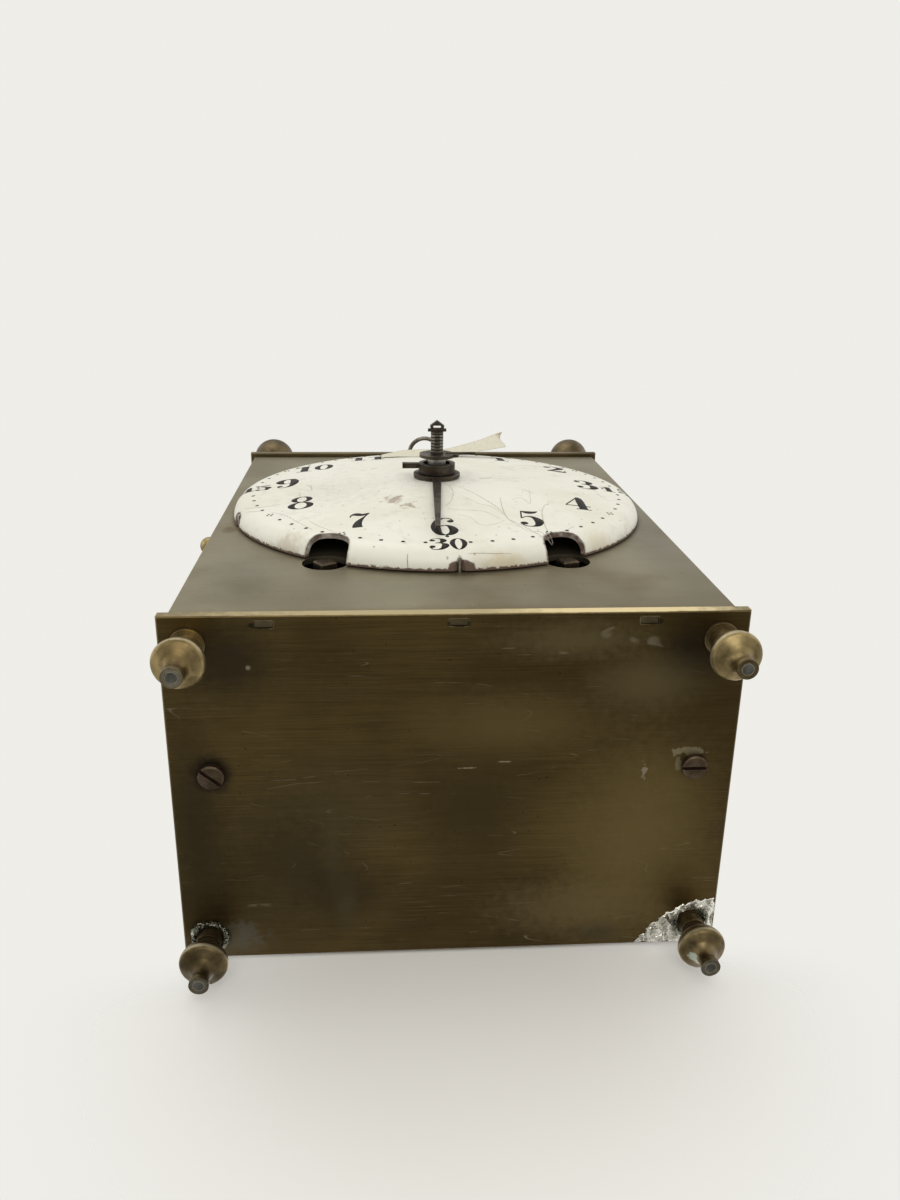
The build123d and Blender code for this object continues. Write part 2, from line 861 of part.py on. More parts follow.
eye_middle = loop_half_width + loop_wire / 2 + eye_gap + eye_thickness / 2
with BuildPart() as loop_eyes:
    for eye_side in (-1, 1):
        with BuildSketch(Plane.YZ.offset(loop_x + eye_side * eye_middle - eye_thickness / 2)):
            with Locations((loop_y, loop_z)):
                Circle(eye_radius)
            with Locations((loop_y, (roof_top + loop_z) / 2)):
                Rectangle(2 * eye_radius, loop_z - roof_top)
            with Locations((loop_y, loop_z)):
                Circle(loop_wire / 2 + loop_fit, mode=Mode.SUBTRACT)
        extrude(amount=eye_thickness)
keep(loop_eyes.part, "loop_eyes")

# Enamel dial: a shallow dome that turns down at the rim to the front plate
shoulder_radius = dial_radius - dial_knuckle
dial_front = front_face - dial_bulge
dial_rim_y = front_face - dial_rim_gap
shoulder_y = dial_rim_y - dial_knuckle
inner_knuckle = dial_knuckle - dial_shell
slot_start = dial_pin_circle - (dial_pin_radius + dial_pin_slot_gap) / sin(radians(dial_pin_slot_angle))
half_turn = sin(radians(45))
half_dome_y = shoulder_y + 3 * (dial_front - shoulder_y) / 4
with BuildPart() as dial:
    with BuildSketch(depth_profile(centre_at)):
        with BuildLine():
            dome = ThreePointArc(
                (0, dial_front),
                (shoulder_radius / 2, half_dome_y),
                (shoulder_radius, shoulder_y),
            )
            knuckle = ThreePointArc(
                dome @ 1,
                (shoulder_radius + dial_knuckle * half_turn, dial_rim_y - dial_knuckle * half_turn),
                (dial_radius, dial_rim_y),
            )
            rim = Line(knuckle @ 1, (dial_radius - dial_shell, dial_rim_y))
            inner_turn = ThreePointArc(
                rim @ 1,
                (shoulder_radius + inner_knuckle * half_turn, dial_rim_y - inner_knuckle * half_turn),
                (shoulder_radius, dial_rim_y - inner_knuckle),
            )
            inner_dome = ThreePointArc(
                inner_turn @ 1,
                (shoulder_radius / 2, half_dome_y + dial_shell),
                (0, dial_front + dial_shell),
            )
            Line(inner_dome @ 1, dome @ 0)
        make_face()
    revolve(axis=depth_axis(centre_at))
    with BuildSketch(facing(front_face)):
        with Locations(centre_at):
            Circle(dial_centre_hole)
        with Locations(*winding_places):
            Circle(dial_notch_radius)
        for slot_angle in dial_pin_angles:
            slot_point = step_from(centre_at, slot_start, slot_angle)
            with BuildLine():
                Polyline(
                    slot_point,
                    step_from(slot_point, dial_knuckle, slot_angle - dial_pin_slot_angle),
                    step_from(slot_point, dial_knuckle, slot_angle + dial_pin_slot_angle),
                    close=True,
                )
            make_face()
    extrude(amount=dial_bulge + dial_shell, mode=Mode.SUBTRACT)
keep(dial.part, "dial")

with BuildPart() as dial_pins:
    with BuildSketch(facing(front_back)):
        with Locations(*dial_pin_places):
            Circle(dial_pin_radius)
    extrude(amount=front_sheet + dial_pin_length)
keep(dial_pins.part, "dial_pins")

# Hands and the collar and pin that hold them on the centre arbor
hour_boss_back = dial_front - hour_boss_gap
hour_front = hour_boss_back - hour_boss_thickness
lean = radians(hour_hand_angle)
tilt_run = hour_blade_length - hour_boss_radius
tilt = atan2(hour_blade_drop, tilt_run)
blade_across = Vector(cos(lean), 0, -sin(lean))
blade_up = Vector(sin(lean) * cos(tilt), -sin(tilt), cos(lean) * cos(tilt))
blade_plane = Plane(
    origin=(0, hour_boss_back - hour_blade_lift * hour_boss_thickness + hour_blade_drop / tilt_run, dial_z),
    x_dir=blade_across,
    z_dir=blade_across.cross(blade_up),
)
blade_start = (hour_pipe_radius + hour_boss_radius) / 2
with BuildPart() as hour_hand:
    with BuildSketch(facing(hour_boss_back)):
        with Locations(centre_at):
            Circle(hour_boss_radius)
    extrude(amount=hour_boss_thickness)
    with BuildSketch(blade_plane):
        with BuildLine():
            Polyline(
                (-hour_blade_root / 2, -blade_start),
                (hour_blade_root / 2, -blade_start),
                (hour_blade_tip / 2, -hour_blade_length),
                (-hour_blade_tip / 2, -hour_blade_length),
                close=True,
            )
        make_face()
    extrude(amount=hour_blade_thickness)
    with BuildSketch(facing(hour_boss_back)):
        with Locations(centre_at):
            Circle(hour_pipe_radius)
    extrude(amount=2 * hour_boss_thickness, mode=Mode.SUBTRACT)
keep(hour_hand.part, "hour_hand")

drum_back = hour_front - minute_drum_gap
drum_front = drum_back - minute_drum_height
stub_start = (minute_recess_radius + minute_drum_radius) / 2
stub_end = minute_drum_radius + minute_stub_length
with BuildPart() as minute_hand:
    with BuildSketch(facing(drum_back)):
        with Locations(centre_at):
            Circle(minute_drum_radius)
            Circle(cannon_pipe_radius, mode=Mode.SUBTRACT)
    extrude(amount=minute_drum_height)
    with BuildSketch(facing(drum_front + minute_recess_depth)):
        with Locations(centre_at):
            Circle(minute_recess_radius)
    extrude(amount=minute_recess_depth, mode=Mode.SUBTRACT)
    with BuildSketch(facing(drum_front + minute_stub_thickness)):
        with BuildLine():
            Polyline(
                (-stub_start, dial_z + minute_stub_root / 2),
                (-stub_end, dial_z + minute_stub_width / 2),
                (-stub_end, dial_z - minute_stub_width / 2),
                (-stub_start, dial_z - minute_stub_root / 2),
                close=True,
            )
        make_face()
    extrude(amount=minute_stub_thickness)
keep(minute_hand.part, "minute_hand")

cannon_front = drum_front - hand_neck_height
collar_back = cannon_front - collar_radius * sin(radians(collar_tilt))
collar_plane = Plane(origin=(0, collar_back, dial_z), z_dir=(0, -1, 0), x_dir=(1, 0, 0))
collar_plane = collar_plane.rotated((0, collar_tilt, 0))
with BuildPart() as hand_collar:
    with BuildSketch(collar_plane):
        Circle(collar_radius)
        with Locations((collar_radius, 0)):
            Circle(collar_lug)
    extrude(amount=collar_thickness)
    needle_start = (collar_radius / 2, collar_back - collar_thickness, dial_z)
    with BuildSketch(Plane(origin=needle_start, z_dir=(1, 0, 0))):
        Circle(needle_radius)
    extrude(amount=needle_reach - collar_radius / 2)
    with BuildSketch(facing(collar_back + 2 * collar_thickness)):
        with Locations(centre_at):
            Circle(arbor_front_radius + pivot_fit)
    extrude(amount=5 * collar_thickness, mode=Mode.SUBTRACT)
keep(hand_collar.part, "hand_collar")

column_back = collar_back - collar_thickness
column_front = column_back - arbor_column
hand_pin_y = column_front - pin_from_column
shoulder_front = column_front - arbor_tip_shoulder

# Centre wheel, arbor and the pinion that the second wheel drives
centre_pinion_back = second_back + leaf_overhang
centre_pinion_length = wheel_sheet + 2 * leaf_overhang
with BuildPart() as centre_arbor:
    with BuildSketch(depth_profile(centre_at)):
        with BuildLine():
            centre_steps = [
                (frame_inner + shoulder_gap, arbor_front_radius),
                (frame_back - shoulder_gap, arbor_back_radius),
                (frame_end + pivot_proud, pivot_radius),
            ]
            Polyline(*stepped_outline(column_front, centre_steps), close=True)
        make_face()
    revolve(axis=depth_axis(centre_at))
    with BuildSketch(facing(centre_pinion_back)):
        with BuildLine():
            Polyline(*tooth_outline(centre_at, second_leaves, second_module, 0.0, pinion_shape), close=True)
        make_face()
    extrude(amount=centre_pinion_length)
    with BuildSketch(Plane.XY.offset(dial_z - arbor_flat / 2)):
        with BuildLine():
            Polyline(
                (-arbor_front_radius, column_front),
                (arbor_front_radius, column_front),
                (arbor_tip_radius, shoulder_front),
                (0, column_front - arbor_tip),
                (-arbor_tip_radius, shoulder_front),
                close=True,
            )
        make_face()
        with Locations((0, shoulder_front + arbor_tip_slot / 2)):
            Rectangle(arbor_tip_slot_width, arbor_tip_slot, mode=Mode.SUBTRACT)
    extrude(amount=arbor_flat)
    with BuildSketch(Plane.XY.offset(dial_z - 2 * arbor_front_radius)):
        with Locations((0, column_back - arbor_column / 2)):
            with GridLocations(1, arbor_groove_pitch, 1, arbor_grooves):
                Rectangle(0.8 * arbor_front_radius, arbor_groove_pitch / 2)
    extrude(amount=arbor_front_radius + arbor_groove_depth, mode=Mode.SUBTRACT)
    with BuildSketch(Plane(origin=(-2 * arbor_front_radius, hand_pin_y, dial_z), z_dir=(1, 0, 0))):
        Circle(pin_radius)
    extrude(amount=4 * arbor_front_radius, mode=Mode.SUBTRACT)
keep(centre_arbor.part, "centre_arbor")

with BuildPart() as hand_pin:
    with BuildSketch(Plane(origin=(-pin_length / 2, hand_pin_y, dial_z), z_dir=(1, 0, 0))):
        Circle(pin_radius)
    extrude(amount=pin_length)
keep(hand_pin.part, "hand_pin")

# Wheels of the going train
keep(
    toothed_wheel(centre_at, centre_back, wheel_sheet, centre_teeth, third_module, 0.0, arbor_back_radius),
    "centre_wheel",
)

second_phase = phase_in_mesh(centre_at, second_leaves, 0.0, second_at, second_teeth)
keep(
    toothed_wheel(
        second_at, second_back, wheel_sheet, second_teeth, second_module, second_phase, second_arbor_radius
    ),
    "second_wheel",
)
second_pinion = pinion_on(great_leaves, great_module, 0.0, great_back, great_sheet)
keep(
    arbor(second_at, frame_front - pivot_proud, pivoted(second_arbor_radius), second_pinion),
    "second_arbor",
)

third_phase = phase_in_mesh(centre_at, centre_teeth, 0.0, third_at, third_leaves)
third_pinion = pinion_on(third_leaves, third_module, third_phase, centre_back, wheel_sheet)
keep(
    toothed_wheel(third_at, third_back, wheel_sheet, third_teeth, escape_module, 0.0, third_arbor_radius),
    "third_wheel",
)
keep(arbor(third_at, frame_front - pivot_proud, pivoted(third_arbor_radius), third_pinion), "third_arbor")

escape_phase = phase_in_mesh(third_at, third_teeth, 0.0, escape_at, escape_leaves)
escape_pinion = pinion_on(escape_leaves, escape_module, escape_phase, third_back, wheel_sheet)
keep(
    arbor(escape_at, frame_front - pivot_proud, pivoted(escape_arbor_radius), escape_pinion),
    "escape_arbor",
)
escape_points = []
escape_tooth = (
    (escape_radius - escape_tooth_depth, 0.0),
    (escape_radius, escape_flank),
    (escape_radius, escape_tip),
)
for tooth in range(escape_teeth):
    for reach, share in escape_tooth:
        escape_points.append(step_from(escape_at, reach, 360 * (tooth + share) / escape_teeth))
with BuildPart() as escape_wheel:
    with BuildSketch(facing(escape_back)):
        with BuildLine():
            Polyline(*escape_points, close=True)
        make_face()
        with Locations(escape_at):
            Circle(escape_arbor_radius, mode=Mode.SUBTRACT)
    extrude(amount=anchor_sheet)
    with BuildSketch(facing(escape_back)):
        with Locations(escape_at):
            Circle(escape_radius - escape_tooth_depth - spoke_width / 2)
            Circle(escape_hub_radius, mode=Mode.SUBTRACT)
            with PolarLocations(0, escape_spokes):
                spoke_align = (Align.MIN, Align.CENTER)
                Rectangle(escape_radius, spoke_width / 2, align=spoke_align, mode=Mode.SUBTRACT)
    extrude(amount=anchor_sheet, mode=Mode.SUBTRACT)
keep(escape_wheel.part, "escape_wheel")

# Barrels with their great wheels, winding arbors with ratchets, and clicks
square_front = front_face - winding_square_proud
barrel_back = great_back - great_sheet
ratchet_front = ratchet_back - ratchet_sheet
great_phases = {
    "going": phase_in_mesh(second_at, great_leaves, 0.0, going_barrel_at, great_teeth),
    "strike": phase_in_mesh(pin_at, pin_leaves, 0.0, strike_barrel_at, great_teeth),
}
click_places = {}
for train_name, barrel_at in (("going", going_barrel_at), ("strike", strike_barrel_at)):
    with BuildPart() as barrel:
        with BuildSketch(facing(barrel_back)):
            with Locations(barrel_at):
                Circle(barrel_radius)
        extrude(amount=barrel_back - barrel_front)
        with BuildSketch(facing(great_back)):
            with BuildLine():
                great_phase = great_phases[train_name]
                great_points = tooth_outline(barrel_at, great_teeth, great_module, great_phase, wheel_shape)
                Polyline(*great_points, close=True)
            make_face()
        extrude(amount=great_sheet)
        with BuildSketch(facing(barrel_front + barrel_lip_depth)):
            with Locations(barrel_at):
                Circle(barrel_radius - barrel_lip)
        extrude(amount=barrel_lip_depth, mode=Mode.SUBTRACT)
        with BuildSketch(facing(great_back)):
            with Locations(barrel_at):
                Circle(barrel_arbor_radius + running_fit)
        extrude(amount=great_back - barrel_front, mode=Mode.SUBTRACT)
    keep(barrel.part, f"{train_name}_barrel")

    ratchet_points = []
    for tooth in range(ratchet_teeth):
        for reach, share in ((ratchet_radius - ratchet_depth, 0.0), (ratchet_radius, ratchet_flank)):
            ratchet_points.append(step_from(barrel_at, reach, 360 * (tooth + share) / ratchet_teeth))
    with BuildPart() as winding_arbor:
        with BuildSketch(depth_profile(barrel_at)):
            with BuildLine():
                winding_steps = [
                    (frame_back - end_shake, barrel_arbor_radius),
                    (frame_end + pivot_proud, barrel_pivot_radius),
                ]
                Polyline(*stepped_outline(ratchet_front, winding_steps), close=True)
            make_face()
        revolve(axis=depth_axis(barrel_at))
        with BuildSketch(facing(ratchet_back)):
            with BuildLine():
                Polyline(*ratchet_points, close=True)
            make_face()
        extrude(amount=ratchet_sheet)
        with BuildSketch(facing(ratchet_front)):
            with Locations(barrel_at):
                Rectangle(winding_square, winding_square, rotation=winding_square_turns[train_name])
        extrude(amount=ratchet_front - square_front)
        chamfer(winding_arbor.faces().sort_by(Axis.Y)[0].edges(), length=winding_square_bevel)
    keep(winding_arbor.part, f"{train_name}_winding_arbor")

    click_at = step_from(barrel_at, click_distance, click_bearing)
    nose_at = step_from(barrel_at, ratchet_radius + click_clearance, click_nose_bearing)
    click_places[train_name] = click_at
    nose_turn = degrees(atan2(nose_at[1] - click_at[1], nose_at[0] - click_at[0]))
    with BuildPart() as click:
        with BuildSketch(facing(ratchet_back)):
            with Locations(click_at):
                Circle(click_eye_radius)
            with BuildLine():
                Polyline(
                    step_from(click_at, click_eye_radius, nose_turn - 90),
                    step_from(nose_at, click_nose_inner, nose_turn - 90),
                    step_from(nose_at, click_nose_outer, nose_turn + 90),
                    step_from(click_at, click_eye_radius, nose_turn + 90),
                    close=True,
                )
            make_face()
            with Locations(click_at):
                Circle(click_stud_radius + running_fit, mode=Mode.SUBTRACT)
        extrude(amount=click_sheet)
    keep(click.part, f"{train_name}_click")

# Motion work between the movement and the dial
minute_phase = phase_in_mesh(centre_at, cannon_leaves, 0.0, minute_stud_at, minute_teeth)
hour_phase = phase_in_mesh(minute_stud_at, minute_leaves, 0.0, centre_at, hour_teeth)
hour_module = minute_module * (minute_teeth + cannon_leaves) / (hour_teeth + minute_leaves)
with BuildPart() as cannon_pinion:
    with BuildSketch(facing(cannon_back)):
        with Locations(centre_at):
            Circle(cannon_pipe_radius)
    extrude(amount=cannon_back - cannon_front)
    with BuildSketch(facing(cannon_back)):
        with BuildLine():
            Polyline(*tooth_outline(centre_at, cannon_leaves, minute_module, 0.0, pinion_shape), close=True)
        make_face()
    extrude(amount=cannon_length)
    with BuildSketch(facing(cannon_back)):
        with Locations(centre_at):
            Circle(arbor_front_radius + cannon_bore_gap)
    extrude(amount=cannon_back - cannon_front, mode=Mode.SUBTRACT)
keep(cannon_pinion.part, "cannon_pinion")

minute_pinion_front = hour_back - motion_sheet - motion_overlap
with BuildPart() as minute_wheel:
    with BuildSketch(facing(minute_back)):
        with BuildLine():
            minute_points = tooth_outline(
                minute_stud_at, minute_teeth, minute_module, minute_phase, wheel_shape
            )
            Polyline(*minute_points, close=True)
        make_face()
    extrude(amount=motion_sheet)
    with BuildSketch(facing(minute_back - motion_sheet)):
        with BuildLine():
            leaf_points = tooth_outline(minute_stud_at, minute_leaves, hour_module, 0.0, pinion_shape)
            Polyline(*leaf_points, close=True)
        make_face()
    extrude(amount=minute_back - motion_sheet - minute_pinion_front)
    with BuildSketch(facing(minute_back)):
        with Locations(minute_stud_at):
            Circle(minute_stud_radius + running_fit)
    extrude(amount=minute_back - minute_pinion_front, mode=Mode.SUBTRACT)
keep(minute_wheel.part, "minute_wheel")

with BuildPart() as hour_wheel:
    with BuildSketch(facing(hour_back)):
        with BuildLine():
            Polyline(*tooth_outline(centre_at, hour_teeth, hour_module, hour_phase, wheel_shape), close=True)
        make_face()
    extrude(amount=motion_sheet)
    with BuildSketch(facing(hour_back)):
        with Locations(centre_at):
            Circle(hour_pipe_radius)
    extrude(amount=hour_back - hour_front)
    with BuildSketch(facing(hour_back)):
        with Locations(centre_at):
            Circle(cannon_pipe_radius + running_fit)
    extrude(amount=hour_back - hour_front, mode=Mode.SUBTRACT)
keep(hour_wheel.part, "hour_wheel")

# Striking train
pin_front = pin_back - wheel_sheet
lifting_circle = (pin_teeth / 2 - wheel_dedendum) * pin_module - spoke_width / 2
with BuildPart() as pin_wheel:
    add(toothed_wheel(pin_at, pin_back, wheel_sheet, pin_teeth, pin_module, 0.0, pin_arbor_radius))
    with BuildSketch(facing(pin_front)):
        with Locations(pin_at):
            with PolarLocations(lifting_circle, lifting_pins):
                Circle(lifting_pin_radius)
    extrude(amount=lifting_pin_length)
keep(pin_wheel.part, "pin_wheel")
pin_pinion = pinion_on(pin_leaves, great_module, 0.0, great_back, great_sheet)
keep(arbor(pin_at, frame_front - pivot_proud, pivoted(pin_arbor_radius), pin_pinion), "pin_wheel_arbor")

lock_phase = phase_in_mesh(pin_at, pin_teeth, 0.0, lock_at, lock_leaves)
with BuildPart() as locking_wheel:
    add(
        arbor(
            lock_at,
            frame_front - pivot_proud,
            pivoted(lock_arbor_radius),
            pinion_on(lock_leaves, pin_module, lock_phase, pin_back, wheel_sheet),
        )
    )
    add(
        toothed_wheel(
            lock_at, lock_back, wheel_sheet, lock_teeth, lock_module, 0.0, lock_arbor_radius, lock_spokes
        )
    )
keep(locking_wheel.part, "locking_wheel")

fly_phase = phase_in_mesh(lock_at, lock_teeth, 0.0, fly_at, fly_leaves)
vane_front = lock_back + leaf_overhang + fly_vane_room
with BuildPart() as fly:
    add(
        arbor(
            fly_at,
            frame_front - pivot_proud,
            pivoted(fly_arbor_radius),
            pinion_on(fly_leaves, lock_module, fly_phase, lock_back, wheel_sheet),
        )
    )
    with BuildSketch(facing(vane_front + fly_vane_length)):
        with Locations(fly_at):
            Rectangle(2 * fly_vane_radius, fly_vane_sheet)
    extrude(amount=fly_vane_length)
keep(fly.part, "fly")

# Hammer, on an arbor between the movement plates, with its head beside the bell
hammer_foot = Vector(hammer_x, hammer_arm_y, hammer_at[1])
hammer_top = Vector(hammer_head_x, hammer_arm_y, hammer_head_z)
tail_x = hammer_x + hammer_tail_lean
tail_z = hammer_at[1] - hammer_tail
with BuildPart() as hammer:
    add(arbor(hammer_at, frame_front - pivot_proud, pivoted(hammer_arbor_radius)))
    with BuildSketch(Plane(origin=hammer_foot, z_dir=hammer_top - hammer_foot)):
        Circle(hammer_arm_radius)
    extrude(amount=(hammer_top - hammer_foot).length)
    with BuildSketch(Plane.YZ.offset(hammer_head_x - hammer_head_length / 2)):
        with Locations((hammer_arm_y, hammer_head_z)):
            Circle(hammer_head_radius)
    extrude(amount=hammer_head_length)
    with BuildSketch(facing(pin_front - hammer_tail_gap)):
        with Locations(hammer_at):
            Circle(2 * hammer_arbor_radius)
        with BuildLine():
            Polyline(
                (hammer_x - hammer_arbor_radius, hammer_at[1]),
                (tail_x - hammer_tail_tip, tail_z),
                (tail_x + hammer_tail_tip, tail_z),
                (hammer_x + hammer_arbor_radius, hammer_at[1]),
                close=True,
            )
        make_face()
    extrude(amount=hammer_tail_sheet)
keep(hammer.part, "hammer")

# Bell on its post, and the nut that holds it
bell_mouth = roof_top + bell_above_plate


def dome_at(radius, base_radius, base_height, top_height):
    """Height at a radius of a round dome that passes through its base circle and its top."""
    rise = top_height - base_height
    dome_radius = (base_radius**2 + rise**2) / (2 * rise)
    return top_height - dome_radius + (dome_radius**2 - radius**2) ** 0.5


bell_hole = bell_bolt_radius + bell_bolt_fit
skirt_middle = bell_skirt_radius + bell_skirt_swell * (bell_radius - bell_skirt_radius)
with BuildPart() as bell:
    with BuildSketch(upright_profile(0, 0, bell_mouth)):
        with BuildLine():
            skirt = ThreePointArc(
                (bell_radius, 0),
                (skirt_middle, bell_skirt_height / 2),
                (bell_skirt_radius, bell_skirt_height),
            )
            outer_dome = [bell_skirt_radius, bell_skirt_height, bell_height]
            outside = ThreePointArc(
                skirt @ 1,
                (bell_skirt_radius / 2, dome_at(bell_skirt_radius / 2, *outer_dome)),
                (bell_hole, dome_at(bell_hole, *outer_dome)),
            )
            inner_skirt = bell_skirt_radius - bell_wall
            inner_dome = [inner_skirt, bell_skirt_height - bell_wall / 2, bell_height - bell_wall]
            crown = Line(outside @ 1, (bell_hole, dome_at(bell_hole, *inner_dome)))
            inside = ThreePointArc(
                crown @ 1,
                (inner_skirt / 2, dome_at(inner_skirt / 2, *inner_dome)),
                (inner_skirt, bell_skirt_height - bell_wall / 2),
            )
            lip = ThreePointArc(
                inside @ 1,
                (skirt_middle - bell_wall, bell_skirt_height / 2 - bell_wall / 4),
                (bell_radius - bell_wall, 0),
            )
            Line(lip @ 1, skirt @ 0)
        make_face()
    revolve(axis=Axis.Z)
keep(bell.part, "bell")

bell_seat = bell_mouth + dome_at(bell_post_radius, *inner_dome)
nut_seat = bell_mouth + dome_at(bell_hole, *outer_dome)
bell_bolt_top = nut_seat + bell_nut_height - bell_bolt_short
with BuildPart() as bell_post:
    with BuildSketch(upright_profile(0, 0, 0)):
        with BuildLine():
            post_steps = [
                (roof_top, bell_bolt_radius),
                (roof_top + bell_foot_height, bell_foot_radius),
                (bell_seat, bell_post_radius),
                (bell_bolt_top, bell_bolt_radius),
            ]
            Polyline(*stepped_outline(roof_bottom, post_steps), close=True)
        make_face()
    revolve(axis=Axis.Z)
keep(bell_post.part, "bell_post")

with BuildPart() as bell_nut:
    with BuildSketch(Plane.XY.offset(nut_seat)):
        RegularPolygon(bell_nut_radius, 6)
        Circle(bell_bolt_radius, mode=Mode.SUBTRACT)
    extrude(amount=bell_nut_height)
keep(bell_nut.part, "bell_nut")

# Anchor with its crutch, the cock behind the movement, and the pendulum
crutch_front = frame_end + crutch_gap
cock_front = frame_end + cock_gap
cock_back = cock_front + cock_sheet + cock_back_thickness
pin_end = pendulum_y + pin_overreach
fork_z = anchor_at[1] - pendulum_fork_drop
pallet_reach = escape_radius + pallet_clearance
with BuildPart() as anchor:
    anchor_steps = [
        (frame_inner + anchor_shoulder_gap, pivot_radius),
        (cock_front - end_shake, anchor_arbor_radius),
        (cock_front + cock_sheet, pivot_radius),
    ]
    add(arbor(anchor_at, frame_front - pivot_proud, anchor_steps))
    with BuildSketch(facing(escape_back)):
        with Locations(anchor_at):
            Circle(anchor_hub_radius)
        for side in (-1, 1):
            outer_turn = 90 - side * (pallet_spread_angle + pallet_width_angle)
            with BuildLine():
                Polyline(
                    (anchor_at[0], anchor_at[1] - anchor_waist),
                    (anchor_at[0] + side * anchor_elbow_in, anchor_at[1] - anchor_elbow_in_drop),
                    step_from(escape_at, pallet_reach, 90 - side * pallet_spread_angle),
                    step_from(escape_at, pallet_reach + pallet_depth, outer_turn),
                    (anchor_at[0] + side * anchor_elbow_out, anchor_at[1] - anchor_elbow_out_drop),
                    (anchor_at[0], anchor_at[1] + anchor_waist),
                    close=True,
                )
            make_face()
    extrude(amount=anchor_sheet)
    with BuildSketch(facing(crutch_front + crutch_sheet)):
        with Locations(anchor_at):
            Circle(crutch_width)
        with Locations((anchor_at[0], (anchor_at[1] + fork_z) / 2)):
            Rectangle(crutch_width, anchor_at[1] - fork_z)
        with Locations((anchor_at[0], fork_z)):
            Circle(crutch_width / 2)
    extrude(amount=crutch_sheet)
    with BuildSketch(facing(pin_end)):
        with Locations((anchor_at[0], fork_z)):
            Circle(crutch_pin_radius)
    extrude(amount=pin_end - crutch_front)
keep(anchor.part, "anchor")

with BuildPart() as back_cock:
    with BuildSketch(facing(cock_back)):
        with Locations(anchor_at):
            RectangleRounded(2 * cock_half_width, cock_height, cock_corner)
    extrude(amount=cock_back - cock_front)
    with BuildSketch(facing(cock_front)):
        for side in (-1, 1):
            with Locations((anchor_at[0] + side * (cock_half_width - cock_leg / 2), anchor_at[1])):
                Rectangle(cock_leg, cock_height)
    extrude(amount=cock_front - frame_end)
    with BuildSketch(facing(cock_front + cock_sheet)):
        with Locations(anchor_at):
            Circle(pivot_radius + pivot_fit)
    extrude(amount=cock_sheet, mode=Mode.SUBTRACT)
    with BuildSketch(facing(pin_end)):
        with Locations(anchor_at):
            Circle(stud_radius)
    extrude(amount=pin_end - cock_back)
keep(back_cock.part, "back_cock")

bob_z = anchor_at[1] - pendulum_length
rod_low = bob_z - bob_radius - pendulum_tail
bob_swell = bob_thickness / 2 - bob_edge / 2
bob_curve = (bob_radius**2 + bob_swell**2) / (2 * bob_swell)
bob_middle = bob_thickness / 2 - bob_curve + (bob_curve**2 - (bob_radius / 2) ** 2) ** 0.5
with BuildPart() as pendulum_rod:
    with BuildSketch(Plane.XY.offset(rod_low)):
        with Locations((anchor_at[0], pendulum_y)):
            Circle(pendulum_rod_radius)
    extrude(amount=anchor_at[1] - rod_low)
    with BuildSketch(facing(pendulum_y + pendulum_sheet / 2)):
        with Locations(anchor_at):
            Circle(pendulum_eye_radius)
        with Locations((anchor_at[0], fork_z)):
            Circle(pendulum_fork_outer)
    extrude(amount=pendulum_sheet)
    with BuildSketch(facing(pendulum_y + pendulum_sheet)):
        with Locations(anchor_at):
            Circle(stud_radius + running_fit)
        with Locations((anchor_at[0], fork_z)):
            Circle(pendulum_fork_inner)
    extrude(amount=2 * pendulum_sheet, mode=Mode.SUBTRACT)
keep(pendulum_rod.part, "pendulum_rod")

with BuildPart() as pendulum_bob:
    with BuildSketch(depth_profile((anchor_at[0], bob_z))):
        with BuildLine():
            swell = ThreePointArc(
                (0, pendulum_y - bob_thickness / 2),
                (bob_radius / 2, pendulum_y - bob_middle),
                (bob_radius, pendulum_y - bob_edge / 2),
            )
            edge = Line(swell @ 1, (bob_radius, pendulum_y + bob_edge / 2))
            back_swell = ThreePointArc(
                edge @ 1,
                (bob_radius / 2, pendulum_y + bob_middle),
                (0, pendulum_y + bob_thickness / 2),
            )
            Line(back_swell @ 1, swell @ 0)
        make_face()
    revolve(axis=depth_axis((anchor_at[0], bob_z)))
    with BuildSketch(Plane.XY.offset(bob_z - 2 * bob_radius)):
        with Locations((anchor_at[0], pendulum_y)):
            Circle(pendulum_rod_radius)
    extrude(amount=4 * bob_radius, mode=Mode.SUBTRACT)
keep(pendulum_bob.part, "pendulum_bob")

